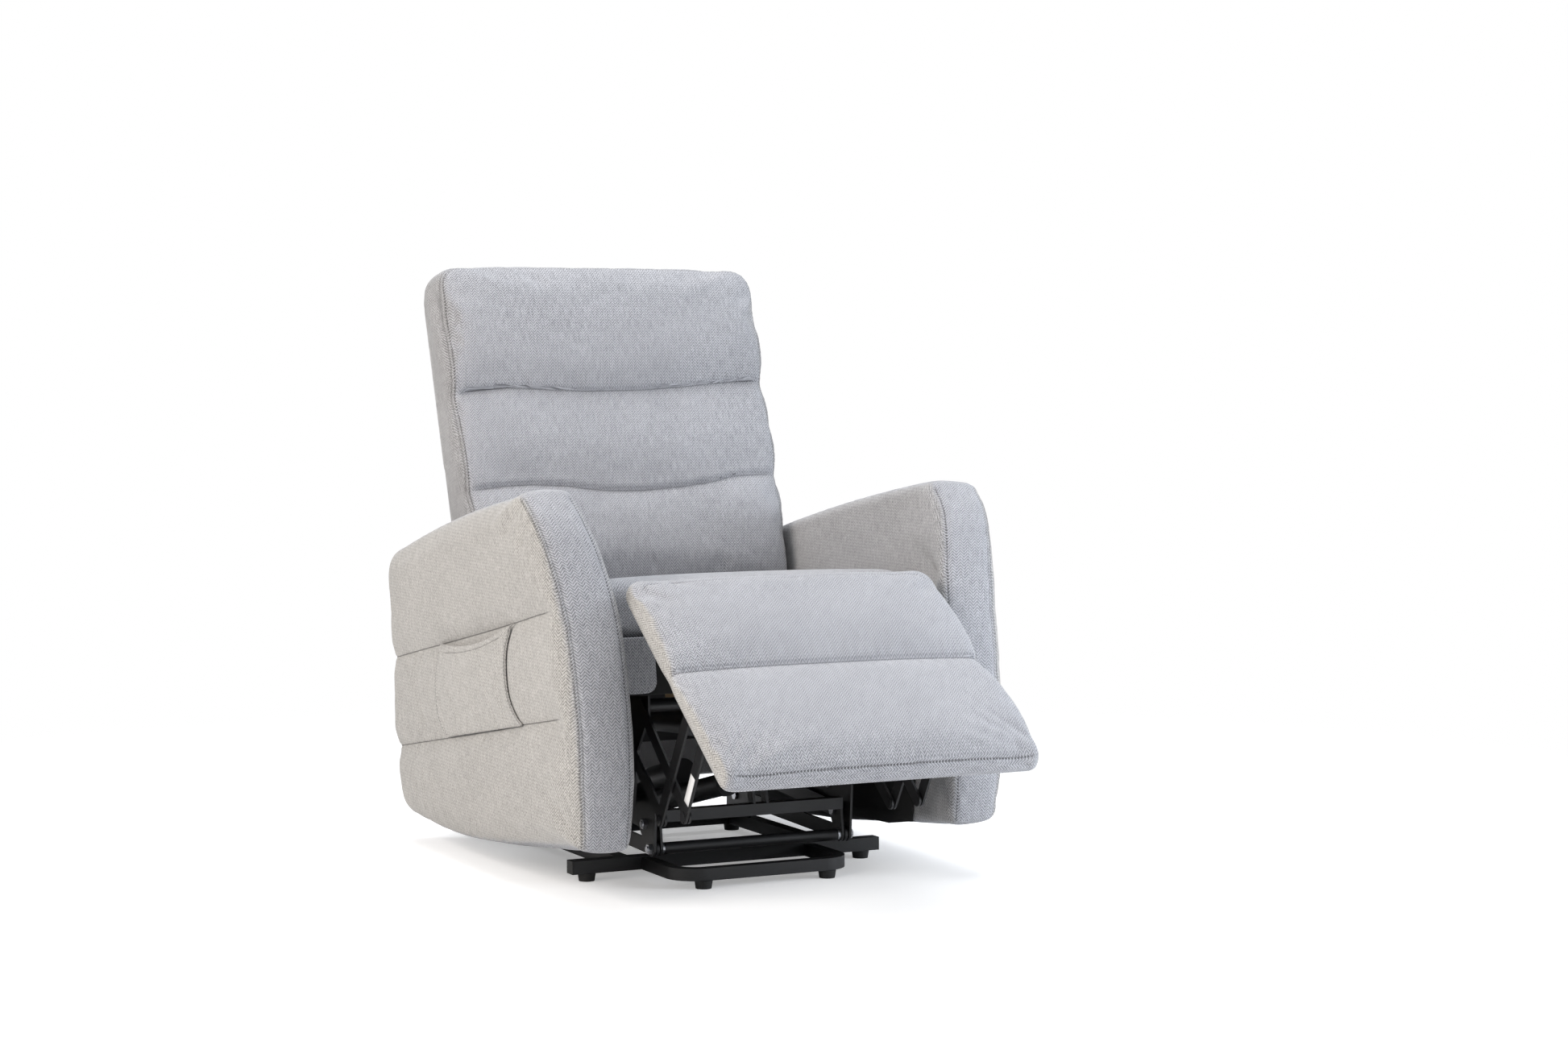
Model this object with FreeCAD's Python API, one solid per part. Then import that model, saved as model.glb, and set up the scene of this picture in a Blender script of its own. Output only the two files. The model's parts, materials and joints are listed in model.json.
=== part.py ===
import FreeCAD, Part
import math
import os
from FreeCAD import Vector

# Lift recliner chair, millimetres. +X is the viewer's right, the chair faces -Y, +Z is up, the floor is Z 0.
# Sizes along Y are first counted from the bottom of the arm fronts; floor_centre_y then moves the chair
# so that the middle of its length stands over the origin.
floor_centre_y = 288.0

# Clearances shared by everything that fits together
pivot_gap = 0.08
soft_gap = 0.4
seat_gap = 0.3

# Floor frame
foot_height = 13.0
foot_radius_top = 15.0
foot_radius_bottom = 13.0
frame_tube_height = 22.0
frame_tube_width = 24.0
frame_tube_wall = 2.0
front_tube_half_length = 280.0
front_tube_front_y = 250.0
outer_foot_x = 253.0
side_rail_inner_x = 176.0
rear_tube_rear_y = 646.0
loop_tube = 20.0
loop_front_y = 103.0
loop_half_width = 160.0
loop_bend_radius = 42.0
loop_foot_x = 112.0
end_cap_thickness = 3.0
end_cap_plug = 10.0

# Lift linkage: four pivots, given in the side view as (y, z)
lower_front_pivot = (169.0, 60.0)
upper_front_pivot = (191.0, 98.0)
lower_rear_pivot = (577.6, 72.0)
upper_rear_pivot = (601.6, 129.3)
lift_link_inner_x = 169.0
lift_link_thickness = 5.0
lower_link_half_width = 12.0
upper_link_half_width = 13.0
lift_pin_radius = 5.0
lift_travel_deg = 48.0
chair_tilt_per_lift = 0.444
open_pivot_clearance = 2.6
lift_plate_thickness = 4.0
torsion_tube_radius = 9.5
torsion_collar = 5.0
torsion_bore_depth = 22.0
cross_tube_front_y = 162.0
cross_tube_depth = 20.0
cross_tube_bottom_z = 103.0
cross_tube_height = 19.0
riser_top_z = 152.0
spacer_centres = ((232.0, 136.0), (305.0, 130.0))
spacer_radius = 9.0

# Seat mechanism: two side plates and the scissor links of the legrest, pivots as (y, z)
side_plate_inner_x = 196.0
side_plate_thickness = 4.0
link_thickness = 4.0
link_side_gap = 2.0
scissor_half_width = 11.0
drive_pivot = (153.3, 295.8)
rear_link_pivot = (194.0, 221.7)
scissor_pivot = (27.7, 186.3)
lower_joint = (66.5, 123.6)
front_joint = (-25.3, 141.0)
pad_rear_joint = (-61.1, 335.3)
pad_front_joint = (-111.2, 294.9)
rivet_radius = 4.0
rivet_head_radius = 9.0
rivet_head_height = 1.4
rivet_head_sides = 12
legrest_closed_deg = -52.5
legrest_open_deg = 37.5
drive_ratio = 0.91
long_link_ratio = -0.13
rear_link_ratio = 0.93
rear_link_clearance = 3.8
front_link_clearance = 3.2
drive_shaft_radius = 11.0
crank_radius = 40.0
crank_rest_deg = 14.0
rear_cross_size = 24.0
rear_cross_bottom_z = 180.0

# Linear actuators: x place of each, pivots as (y, z)
actuator_tube_radius = 19.0
actuator_bore_start = 46.0
actuator_rod_radius = 10.0
actuator_pin_radius = 5.0
actuator_eye_radius = 12.0
actuator_eye_width = 16.0
motor_radius = 23.0
lug_thickness = 4.0
lift_actuator_x = 16.0
lift_actuator_foot = (632.0, 58.0)
lift_actuator_head = (182.0, 165.0)
legrest_actuator_x = -70.0
back_actuator_x = 70.0

# Seat box, tilted down towards the back
seat_slope_deg = 9.0
seat_front_y = 102.0
seat_front_z = 320.0
seat_rail_thickness = 22.0
seat_rail_height = 84.0
seat_box_depth = 500.0
front_panel_width = 91.0
strap_count = 6
strap_width = 50.0
strap_thickness = 2.2
strap_lap = 16.0
cushion_front_y = 105.0
cushion_front_top_z = 503.0
cushion_rear_top_z = 436.0
cushion_crown = 14.0

# Backrest, drawn along its own lean; depth runs rearwards, height runs up the back
back_lean_deg = 17.7
back_height = 617.0
back_low_half_width = 298.0
back_widening = 14.0
back_depth = 112.0
back_corner_radius = 58.0
back_channel_low = 204.0
back_channel_high = 385.0
back_channel_low_depth = 18.0
back_channel_high_depth = 32.0
back_crown = 20.0
back_frame_depth = 82.0
back_frame_thickness = 18.0
back_rail_width = 60.0

# Legrest pad, drawn from its top edge down its slope
pad_top_edge = (65.0, 515.0)
pad_slope_deg = 36.0
pad_length = 462.0
pad_channel = 238.0
pad_half_width = 272.0
pad_side_depth = 34.0
pad_crown = 11.0
pad_board_thickness = 12.0
pad_bracket_drop = 26.0
pad_bracket_start = 190.0
pad_bracket_end = 296.0
pad_board_side_inset = 17.0
pad_board_low_inset = 30.0

# Arms: a lower edge near the floor, leaning outwards to the top
arm_bottom_z = 95.0
arm_top_z = 643.0
arm_inner_lean = 31.0
arm_bottom_width = 87.0
arm_top_width = 96.0
arm_edge_round = 13.0
arm_seam_slope_deg = 9.5
arm_seam_front_z = (467.0, 296.0)
arm_seam_depth = 4.0
arm_board_inset_x = 47.0
arm_board_thickness = 18.0
arm_bolt_radius = 4.0
arm_bolt_inset = 80.0
pocket_cloth = 2.0
pocket_gap = 6.5
pocket_hem = 5.0
lining_thickness = 1.6
lining_front_y = 132.0
lining_rear_y = 740.0
rear_panel_front_y = 784.0
rear_panel_thickness = 16.0
rear_panel_bottom_z = 80.0
rear_panel_top_z = 378.0

# What follows from the sizes above: the seat box carries the rear cross tube, the actuator feet and the
# back pivot, and the arms stand beside the seat box
seat_rear_y = seat_front_y + seat_box_depth
rear_cross_front_y = seat_rear_y - 42.0
legrest_actuator_foot = (rear_cross_front_y + 12.0, 228.0)
back_actuator_foot = (rear_cross_front_y + 52.0, 190.0)
back_pivot = (seat_rear_y + 26.0, 372.0)
back_actuator_head = (back_pivot[0] + 62.0, back_pivot[1] - 19.0)
back_front_bottom = (seat_rear_y - 2.0, 440.0)
cushion_rear_y = seat_rear_y - 24.0
cushion_half_width = back_low_half_width
back_half_width = back_low_half_width + back_widening
seat_box_half_width = back_low_half_width - 9.0
arm_inner_bottom_x = seat_box_half_width - 2.0
arm_inner_top_x = arm_inner_bottom_x + arm_inner_lean
arm_outer_bottom_x = arm_inner_bottom_x + arm_bottom_width
arm_outer_top_x = arm_inner_top_x + arm_top_width
arm_board_inner_x = arm_inner_bottom_x + arm_board_inset_x
back_frame_half = back_low_half_width - 10.0
back_upright_inner = back_frame_half - 23.0
side_plate_outer_x = side_plate_inner_x + side_plate_thickness
crank_end = (drive_pivot[0] - crank_radius * math.sin(math.radians(crank_rest_deg)),
             drive_pivot[1] - crank_radius * math.cos(math.radians(crank_rest_deg)))


def deg(angle):
    return math.radians(angle)


def box(x0, x1, y0, y1, z0, z1):
    return Part.makeBox(x1 - x0, y1 - y0, z1 - z0, Vector(x0, y0, z0))


def disc(radius, x0, x1, centre):
    """A cylinder along X from x0 to x1 about a side-view point."""
    return Part.makeCylinder(radius, x1 - x0, Vector(x0, centre[0], centre[1]), Vector(1, 0, 0))


def wire_at(x, points):
    corners = [Vector(x, y, z) for y, z in points]
    return Part.makePolygon(corners + [corners[0]])


def plate(x0, x1, points):
    """A flat plate with a straight-sided side-view outline."""
    return Part.Face(wire_at(x0, points)).extrude(Vector(x1 - x0, 0, 0))


def rounded_plate(x0, x1, points, radius):
    """A flat plate whose corners are rounded."""
    solid = plate(x0, x1, points)
    upright = [e for e in solid.Edges if abs(e.tangentAt(e.FirstParameter).x) > 0.99]
    return solid.makeFillet(radius, upright)


def link(x0, x1, start, end, half_width):
    """A flat link with round ends about two side-view points."""
    length = math.hypot(end[0] - start[0], end[1] - start[1])
    uy = (end[0] - start[0]) / length
    uz = (end[1] - start[1]) / length
    sides = []
    for centre, way in ((start, 1), (start, -1), (end, -1), (end, 1)):
        sides.append(Vector(x0, centre[0] - uz * half_width * way, centre[1] + uy * half_width * way))
    tail = Vector(x0, start[0] - uy * half_width, start[1] - uz * half_width)
    nose = Vector(x0, end[0] + uy * half_width, end[1] + uz * half_width)
    edges = [
        Part.Arc(sides[0], tail, sides[1]).toShape(),
        Part.LineSegment(sides[1], sides[2]).toShape(),
        Part.Arc(sides[2], nose, sides[3]).toShape(),
        Part.LineSegment(sides[3], sides[0]).toShape(),
    ]
    return Part.Face(Part.Wire(edges)).extrude(Vector(x1 - x0, 0, 0))


def mirrored(shape):
    return shape.mirror(Vector(0, 0, 0), Vector(1, 0, 0))


def pair(shape):
    return [shape, mirrored(shape)]


def group(shapes):
    return Part.makeCompound(shapes)


def prism(x0, x1, centre, radius, sides=6):
    """A regular prism along X, as for a bolt's head."""
    points = []
    for i in range(sides):
        a = deg(360 / sides * i)
        points.append((centre[0] + radius * math.cos(a), centre[1] + radius * math.sin(a)))
    return plate(x0, x1, points)


def bolt(radius, head_x, nut_x, centre, head=4.0, nut=6.0):
    """A bolt along +X: its head ends at head_x and its nut starts at nut_x."""
    solid = disc(radius, head_x - 0.5, nut_x + nut + 2.0, centre)
    solid = solid.fuse(prism(head_x - head, head_x, centre, radius * 1.75))
    return solid.fuse(prism(nut_x, nut_x + nut, centre, radius * 1.75)).removeSplitter()


def studded(solid, x0, x1, centres):
    """A link with the rivets it carries, each from inside it at x0 to its head on the face at x1."""
    for centre in centres:
        solid = solid.fuse(disc(rivet_radius, min(x0, x1), max(x0, x1), centre))
        low = x1 if x1 > x0 else x1 - rivet_head_height
        solid = solid.fuse(prism(low, low + rivet_head_height, centre, rivet_head_radius, rivet_head_sides))
    return solid.removeSplitter()


nodes = {}


def add(name, shape):
    nodes[name] = shape


# Floor frame

frame_bottom = foot_height
frame_top = foot_height + frame_tube_height
front_tube_rear_y = front_tube_front_y + frame_tube_width
rear_tube_front_y = rear_tube_rear_y - frame_tube_width
side_rail_outer_x = side_rail_inner_x + frame_tube_width
loop_leg_y = loop_front_y + loop_tube / 2


def tube_x(x0, x1, y0, y1, z0, z1, wall):
    return box(x0, x1, y0, y1, z0, z1).cut(box(x0 - 1, x1 + 1, y0 + wall, y1 - wall, z0 + wall, z1 - wall))


def front_loop_band(inset):
    """The bent front loop in plan, as a solid band inset from its outer faces."""
    z0 = frame_bottom + inset
    z1 = frame_bottom + loop_tube - inset
    shapes = []
    for out in (inset, loop_tube - inset):
        x = loop_half_width - out
        r = loop_bend_radius + loop_tube / 2 - out
        y = loop_front_y + out
        d = r * (1 - math.sqrt(0.5))
        edges = [
            Part.LineSegment(Vector(-x, front_tube_front_y, z0), Vector(-x, y + r, z0)).toShape(),
            Part.Arc(Vector(-x, y + r, z0), Vector(-x + d, y + d, z0), Vector(-x + r, y, z0)).toShape(),
            Part.LineSegment(Vector(-x + r, y, z0), Vector(x - r, y, z0)).toShape(),
            Part.Arc(Vector(x - r, y, z0), Vector(x - d, y + d, z0), Vector(x, y + r, z0)).toShape(),
            Part.LineSegment(Vector(x, y + r, z0), Vector(x, front_tube_front_y, z0)).toShape(),
            Part.LineSegment(Vector(x, front_tube_front_y, z0), Vector(-x, front_tube_front_y, z0)).toShape(),
        ]
        shapes.append(Part.Face(Part.Wire(edges)).extrude(Vector(0, 0, z1 - z0)))
    return shapes[0].cut(shapes[1])


def floor_frame():
    front = tube_x(-front_tube_half_length, front_tube_half_length, front_tube_front_y, front_tube_rear_y,
                   frame_bottom, frame_top, frame_tube_wall)
    add("front_cross_tube", front)
    add("front_loop", front_loop_band(0).cut(front_loop_band(frame_tube_wall)))
    rail = box(side_rail_inner_x, side_rail_outer_x, front_tube_rear_y, rear_tube_front_y,
               frame_bottom, frame_top)
    w = frame_tube_wall
    rail = rail.cut(box(side_rail_inner_x + w, side_rail_outer_x - w, front_tube_rear_y - 1,
                        rear_tube_front_y + 1, frame_bottom + w, frame_top - w))
    add("side_rails", group(pair(rail)))
    add("rear_cross_tube", tube_x(-side_rail_outer_x, side_rail_outer_x, rear_tube_front_y, rear_tube_rear_y,
                                  frame_bottom, frame_top, frame_tube_wall))


def end_cap(x, y0, y1):
    """A moulded cap that plugs the open end of a cross tube at x."""
    w = frame_tube_wall + pivot_gap
    cap = box(x, x + end_cap_thickness, y0, y1, frame_bottom, frame_top)
    plug = box(x - end_cap_plug, x, y0 + w, y1 - w, frame_bottom + w, frame_top - w)
    return cap.fuse(plug).removeSplitter()


def floor_frame_trim():
    caps = pair(end_cap(front_tube_half_length, front_tube_front_y, front_tube_rear_y))
    caps += pair(end_cap(side_rail_outer_x, rear_tube_front_y, rear_tube_rear_y))
    add("tube_end_caps", group(caps))
    feet = []
    places = (
        (loop_foot_x, loop_leg_y),
        (outer_foot_x, front_tube_front_y + frame_tube_width / 2),
        (side_rail_inner_x + frame_tube_width / 2, rear_tube_rear_y - frame_tube_width / 2),
    )
    for x, y in places:
        foot = Part.makeCone(foot_radius_bottom, foot_radius_top, foot_height, Vector(x, y, 0))
        feet += pair(foot)
    add("feet", group(feet))


# Lift linkage

link_outer_x = lift_link_inner_x + lift_link_thickness
outer_plate_x = link_outer_x + 2.0
inner_plate_x = lift_link_inner_x - 2.0 - lift_plate_thickness


def pierced(solid, radius, centres, x0=100.0, x1=260.0):
    for centre in centres:
        solid = solid.cut(disc(radius, x0, x1, centre))
    return solid


def riser_plates():
    """Upright plates welded on the side rails; they carry the rear pivots of the lift arms."""
    rear = rear_tube_front_y + 8
    outline = [(540, frame_top), (rear, frame_top), (rear, upper_rear_pivot[1] - 6), (618, riser_top_z),
               (586, riser_top_z), (552, 96)]
    solid = rounded_plate(outer_plate_x, outer_plate_x + 5, outline, 3)
    solid = pierced(solid, lift_pin_radius + pivot_gap, (lower_rear_pivot, upper_rear_pivot))
    add("riser_plates", group(pair(solid)))
    bolts = []
    for centre in (lower_rear_pivot, upper_rear_pivot):
        bolts += pair(bolt(lift_pin_radius, lift_link_inner_x - seat_gap, outer_plate_x + 5, centre))
    add("riser_pivot_bolts", group(bolts))


def lower_lift_arms():
    arm = link(lift_link_inner_x, link_outer_x, lower_front_pivot, lower_rear_pivot, lower_link_half_width)
    arm = pierced(arm, lift_pin_radius + pivot_gap, (lower_front_pivot, lower_rear_pivot))
    add("lower_lift_links", group(pair(arm)))


def torsion_tube():
    """The round cross bar on the axis of the lower front pivots; its bored ends take the pivot bolts."""
    half = inner_plate_x - torsion_collar
    bar = disc(torsion_tube_radius, -half, half, lower_front_pivot)
    bore = disc(lift_pin_radius + pivot_gap, half - torsion_bore_depth, half + 1, lower_front_pivot)
    return bar.cut(bore).cut(mirrored(bore))


def torsion_bolt():
    """A bolt from outside that clamps a collar between the cross bar and the hanging plate."""
    nut_x = outer_plate_x + lift_plate_thickness
    start = inner_plate_x - torsion_collar - torsion_bore_depth + 1
    solid = disc(lift_pin_radius, start, nut_x + 8, lower_front_pivot)
    collar_x = inner_plate_x - torsion_collar
    solid = solid.fuse(disc(lift_pin_radius * 1.8, collar_x, inner_plate_x, lower_front_pivot))
    return solid.fuse(prism(nut_x, nut_x + 6, lower_front_pivot, lift_pin_radius * 1.75)).removeSplitter()


def upper_lift_arms():
    arm = link(lift_link_inner_x, link_outer_x, upper_front_pivot, upper_rear_pivot, upper_link_half_width)
    arm = pierced(arm, lift_pin_radius + pivot_gap, (upper_rear_pivot,))
    arm = pierced(arm, lift_pin_radius + open_pivot_clearance, (upper_front_pivot,))
    add("upper_lift_links", group(pair(arm)))


def lift_carrier():
    """Front cross tube with its hanging plates, and the outer plates that the seat mechanism stands on."""
    add("lift_cross_tube", tube_x(-inner_plate_x - lift_plate_thickness, inner_plate_x + lift_plate_thickness,
                                  cross_tube_front_y, cross_tube_front_y + cross_tube_depth,
                                  cross_tube_bottom_z, cross_tube_bottom_z + cross_tube_height, 2.0))
    fy, fz = lower_front_pivot
    uy, uz = upper_front_pivot
    hanging = plate(inner_plate_x, inner_plate_x + lift_plate_thickness,
                    [(cross_tube_front_y + 1, cross_tube_bottom_z), (fy - 12, fz), (fy - 8, fz - 9),
                     (fy, fz - 12), (fy + 9, fz - 8), (fy + 13, fz), (uy + 13, uz - 4), (uy + 12, uz + 8),
                     (uy + 2, uz + 13),
                     (cross_tube_front_y + cross_tube_depth, uz + 13),
                     (cross_tube_front_y + cross_tube_depth, cross_tube_bottom_z)])
    hanging = pierced(hanging, lift_pin_radius + pivot_gap, (lower_front_pivot, upper_front_pivot))
    add("hanging_plates", group(pair(hanging)))
    outer = rounded_plate(outer_plate_x, outer_plate_x + lift_plate_thickness,
                          [(fy - 13, fz - 4), (fy - 4, fz - 13), (fy + 10, fz - 10), (232, 108), (322, 112),
                           (322, 150), (232, 156), (180, 176), (150, 150)], 3)
    outer = pierced(outer, lift_pin_radius + pivot_gap, (lower_front_pivot, upper_front_pivot))
    outer = pierced(outer, arm_bolt_radius + pivot_gap, spacer_centres)
    add("carrier_plates", group(pair(outer)))
    add("torsion_tube", torsion_tube())
    nut_x = outer_plate_x + lift_plate_thickness
    bolts = pair(torsion_bolt())
    bolts += pair(bolt(lift_pin_radius, inner_plate_x, nut_x, upper_front_pivot))
    add("carrier_pivot_bolts", group(bolts))


def spacers():
    """Hexagonal spacers and their bolts, which hold the seat mechanism off the carrier plates."""
    x0 = outer_plate_x + lift_plate_thickness
    solids = []
    bolts = []
    for centre in spacer_centres:
        tube = prism(x0, side_plate_inner_x, centre, spacer_radius)
        tube = pierced(tube, arm_bolt_radius + pivot_gap, (centre,))
        solids += pair(tube)
        bolts += pair(bolt(arm_bolt_radius, outer_plate_x, side_plate_outer_x, centre, 3, 5))
    add("plate_spacers", group(solids))
    add("spacer_bolts", group(bolts))


# Seat mechanism

first_link_x = side_plate_outer_x + link_side_gap
second_link_x = first_link_x + link_thickness + link_side_gap
third_link_x = second_link_x + link_thickness + link_side_gap


def seat_point(u, v):
    """Side-view point of the tilted seat box: u runs rearwards, v up from the underside of its rails."""
    c = math.cos(deg(seat_slope_deg))
    s = math.sin(deg(seat_slope_deg))
    return (seat_front_y + u * c + v * s, seat_front_z - u * s + v * c)


def side_plates():
    top_front = seat_point(32, -0.5)
    top_rear = seat_point(seat_box_depth, -0.5)
    rear_y = rear_cross_front_y + rear_cross_size + 12
    outline = [(top_front[0], top_front[1]), (top_front[0], drive_pivot[1] - 16),
               (rear_link_pivot[0] - 18, rear_link_pivot[1]), (194, 122), (318, 116), (334, 152), (390, 190),
               (rear_cross_front_y - 12, rear_cross_bottom_z - 4), (rear_y, rear_cross_bottom_z - 4),
               (rear_y, top_rear[1])]
    solid = plate(side_plate_inner_x, side_plate_outer_x, outline)
    solid = pierced(solid, 8 + pivot_gap, (drive_pivot,))
    solid = pierced(solid, arm_bolt_radius + pivot_gap, spacer_centres)
    solid = studded(solid, side_plate_outer_x - 1, first_link_x + link_thickness + 0.2, (rear_link_pivot,))
    add("side_plates", group(pair(solid)))
    y0 = rear_cross_front_y
    z0 = rear_cross_bottom_z
    add("seat_rear_cross_tube", tube_x(-side_plate_inner_x, side_plate_inner_x, y0, y0 + rear_cross_size,
                                       z0, z0 + rear_cross_size, 2.0))


def drive_links():
    """Scissor links that swing on the side plates, welded to the ends of the drive shaft."""
    x0 = first_link_x
    x1 = first_link_x + link_thickness
    arm = link(x0, x1, drive_pivot, front_joint, scissor_half_width)
    arm = studded(arm, x1 - 1, second_link_x + link_thickness, (scissor_pivot, front_joint))
    add("drive_links", group(pair(arm)))
    half = side_plate_inner_x - 1.0
    shaft = disc(drive_shaft_radius, -half, half, drive_pivot)
    shaft = shaft.fuse(disc(8, -x0, x0, drive_pivot)).removeSplitter()
    add("drive_shaft", shaft)
    crank_plates = []
    for side in (-1, 1):
        middle = legrest_actuator_x + side * (actuator_eye_width / 2 + 2 + lug_thickness / 2)
        x = middle - lug_thickness / 2
        lug = lug_plate(x, drive_pivot, crank_end, 15)
        lug = lug.cut(disc(drive_shaft_radius, x - 1, x + lug_thickness + 1, drive_pivot))
        crank_plates.append(lug.fuse(pin_head(x, side, crank_end)).removeSplitter())
    add("legrest_crank", group(crank_plates))


def pin_head(x, side, centre):
    """The head of a clevis pin on the outer face of the lug that starts at x."""
    face = x + lug_thickness if side > 0 else x - 3
    return prism(face, face + 3, centre, actuator_pin_radius + 2.5, rivet_head_sides)


def lug_plate(x, root, eye, half_width):
    """A flat lug from root to just past eye, its outer corners cut off."""
    length = math.hypot(eye[0] - root[0], eye[1] - root[1])
    uy = (eye[0] - root[0]) / length
    uz = (eye[1] - root[1]) / length
    points = []
    for along, across in ((0, 1), (length, 1), (length + half_width, 0.45),
                          (length + half_width, -0.45), (length, -1), (0, -1)):
        points.append((root[0] + uy * along - uz * across * half_width,
                       root[1] + uz * along + uy * across * half_width))
    return plate(x, x + lug_thickness, points)


def scissor_links():
    x0 = second_link_x
    x1 = second_link_x + link_thickness
    long_link = link(x0, x1, lower_joint, pad_rear_joint, scissor_half_width)
    long_link = pierced(long_link, rivet_radius + pivot_gap, (scissor_pivot, pad_rear_joint))
    long_link = studded(long_link, x0 + 1, first_link_x, (lower_joint,))
    add("long_links", group(pair(long_link)))
    front_link = link(x0, x1, front_joint, pad_front_joint, scissor_half_width)
    front_link = pierced(front_link, rivet_radius + pivot_gap, (front_joint,))
    front_link = pierced(front_link, rivet_radius + front_link_clearance, (pad_front_joint,))
    add("front_links", group(pair(front_link)))
    rear_x1 = first_link_x + link_thickness
    rear_link = link(first_link_x, rear_x1, rear_link_pivot, lower_joint, scissor_half_width)
    rear_link = pierced(rear_link, rivet_radius + pivot_gap, (rear_link_pivot,))
    rear_link = pierced(rear_link, rivet_radius + rear_link_clearance, (lower_joint,))
    add("rear_links", group(pair(rear_link)))


# Linear actuators


def aim(shape, x, foot, head):
    """Turn a shape drawn about the origin along +Z so that it points from foot to head."""
    way = Vector(0, head[0] - foot[0], head[1] - foot[1])
    shape.Placement = FreeCAD.Placement(Vector(x, foot[0], foot[1]),
                                        FreeCAD.Rotation(Vector(0, 0, 1), way))
    return shape


def actuator_body(x, foot, head, tube_end, motor_length):
    """Foot eye, gearbox, motor beside the tube, and the outer tube with its bore."""
    eye = Part.makeCylinder(actuator_eye_radius, actuator_eye_width, Vector(-actuator_eye_width / 2, 0, 0),
                            Vector(1, 0, 0))
    gearbox = Part.makeBox(46, 78, 44, Vector(-23, -24, 14))
    gearbox = gearbox.makeFillet(7, [e for e in gearbox.Edges if abs(e.tangentAt(e.FirstParameter).z) > 0.99])
    motor = Part.makeCylinder(motor_radius, motor_length, Vector(0, actuator_tube_radius + 20, 50))
    tube = Part.makeCylinder(actuator_tube_radius, tube_end - 40, Vector(0, 0, 40))
    collar = Part.makeCylinder(actuator_tube_radius + 2, 14, Vector(0, 0, tube_end - 14))
    neck = Part.makeBox(actuator_eye_width, 20, 20, Vector(-actuator_eye_width / 2, -10, 0))
    solid = eye.fuse([neck, gearbox, motor, tube, collar]).removeSplitter()
    bore = Part.makeCylinder(actuator_rod_radius + pivot_gap, tube_end, Vector(0, 0, actuator_bore_start))
    hole = Part.makeCylinder(actuator_pin_radius + pivot_gap, 60, Vector(-30, 0, 0), Vector(1, 0, 0))
    return aim(solid.cut(bore).cut(hole), x, foot, head)


def actuator_rod(x, foot, head, inner_end):
    """The inner rod, from its end inside the tube to the eye at its head."""
    length = math.hypot(head[0] - foot[0], head[1] - foot[1])
    rod = Part.makeCylinder(actuator_rod_radius, length - inner_end - 6, Vector(0, 0, inner_end))
    eye = Part.makeCylinder(actuator_eye_radius, actuator_eye_width,
                            Vector(-actuator_eye_width / 2, 0, length), Vector(1, 0, 0))
    hole = Part.makeCylinder(actuator_pin_radius, actuator_eye_width + 2,
                             Vector(-actuator_eye_width / 2 - 1, 0, length), Vector(1, 0, 0))
    return aim(rod.fuse(eye).cut(hole), x, foot, head)


def clevis(x, root, eye, half_width, pinned):
    """Two lugs about an actuator's eye; a pinned clevis has the pin, an open one only its heads."""
    solids = []
    for side in (-1, 1):
        x0 = x + side * (actuator_eye_width / 2 + 2 + lug_thickness / 2) - lug_thickness / 2
        lug = lug_plate(x0, root, eye, half_width)
        if not pinned:
            lug = lug.fuse(pin_head(x0, side, eye)).removeSplitter()
        solids.append(lug)
    if pinned:
        reach = actuator_eye_width / 2 + 2 + lug_thickness + 3
        pin = disc(actuator_pin_radius, x - reach, x + reach, eye)
        solids = [solids[0].fuse(pin).fuse(solids[1]).removeSplitter()]
    return solids


def cut_all(shapes, tool):
    return [shape.cut(tool) for shape in shapes]


def weld_to(name, lugs):
    """Lugs welded to a tube share its node, each as a solid of its own."""
    nodes[name] = group(nodes[name].Solids + lugs)


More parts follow.
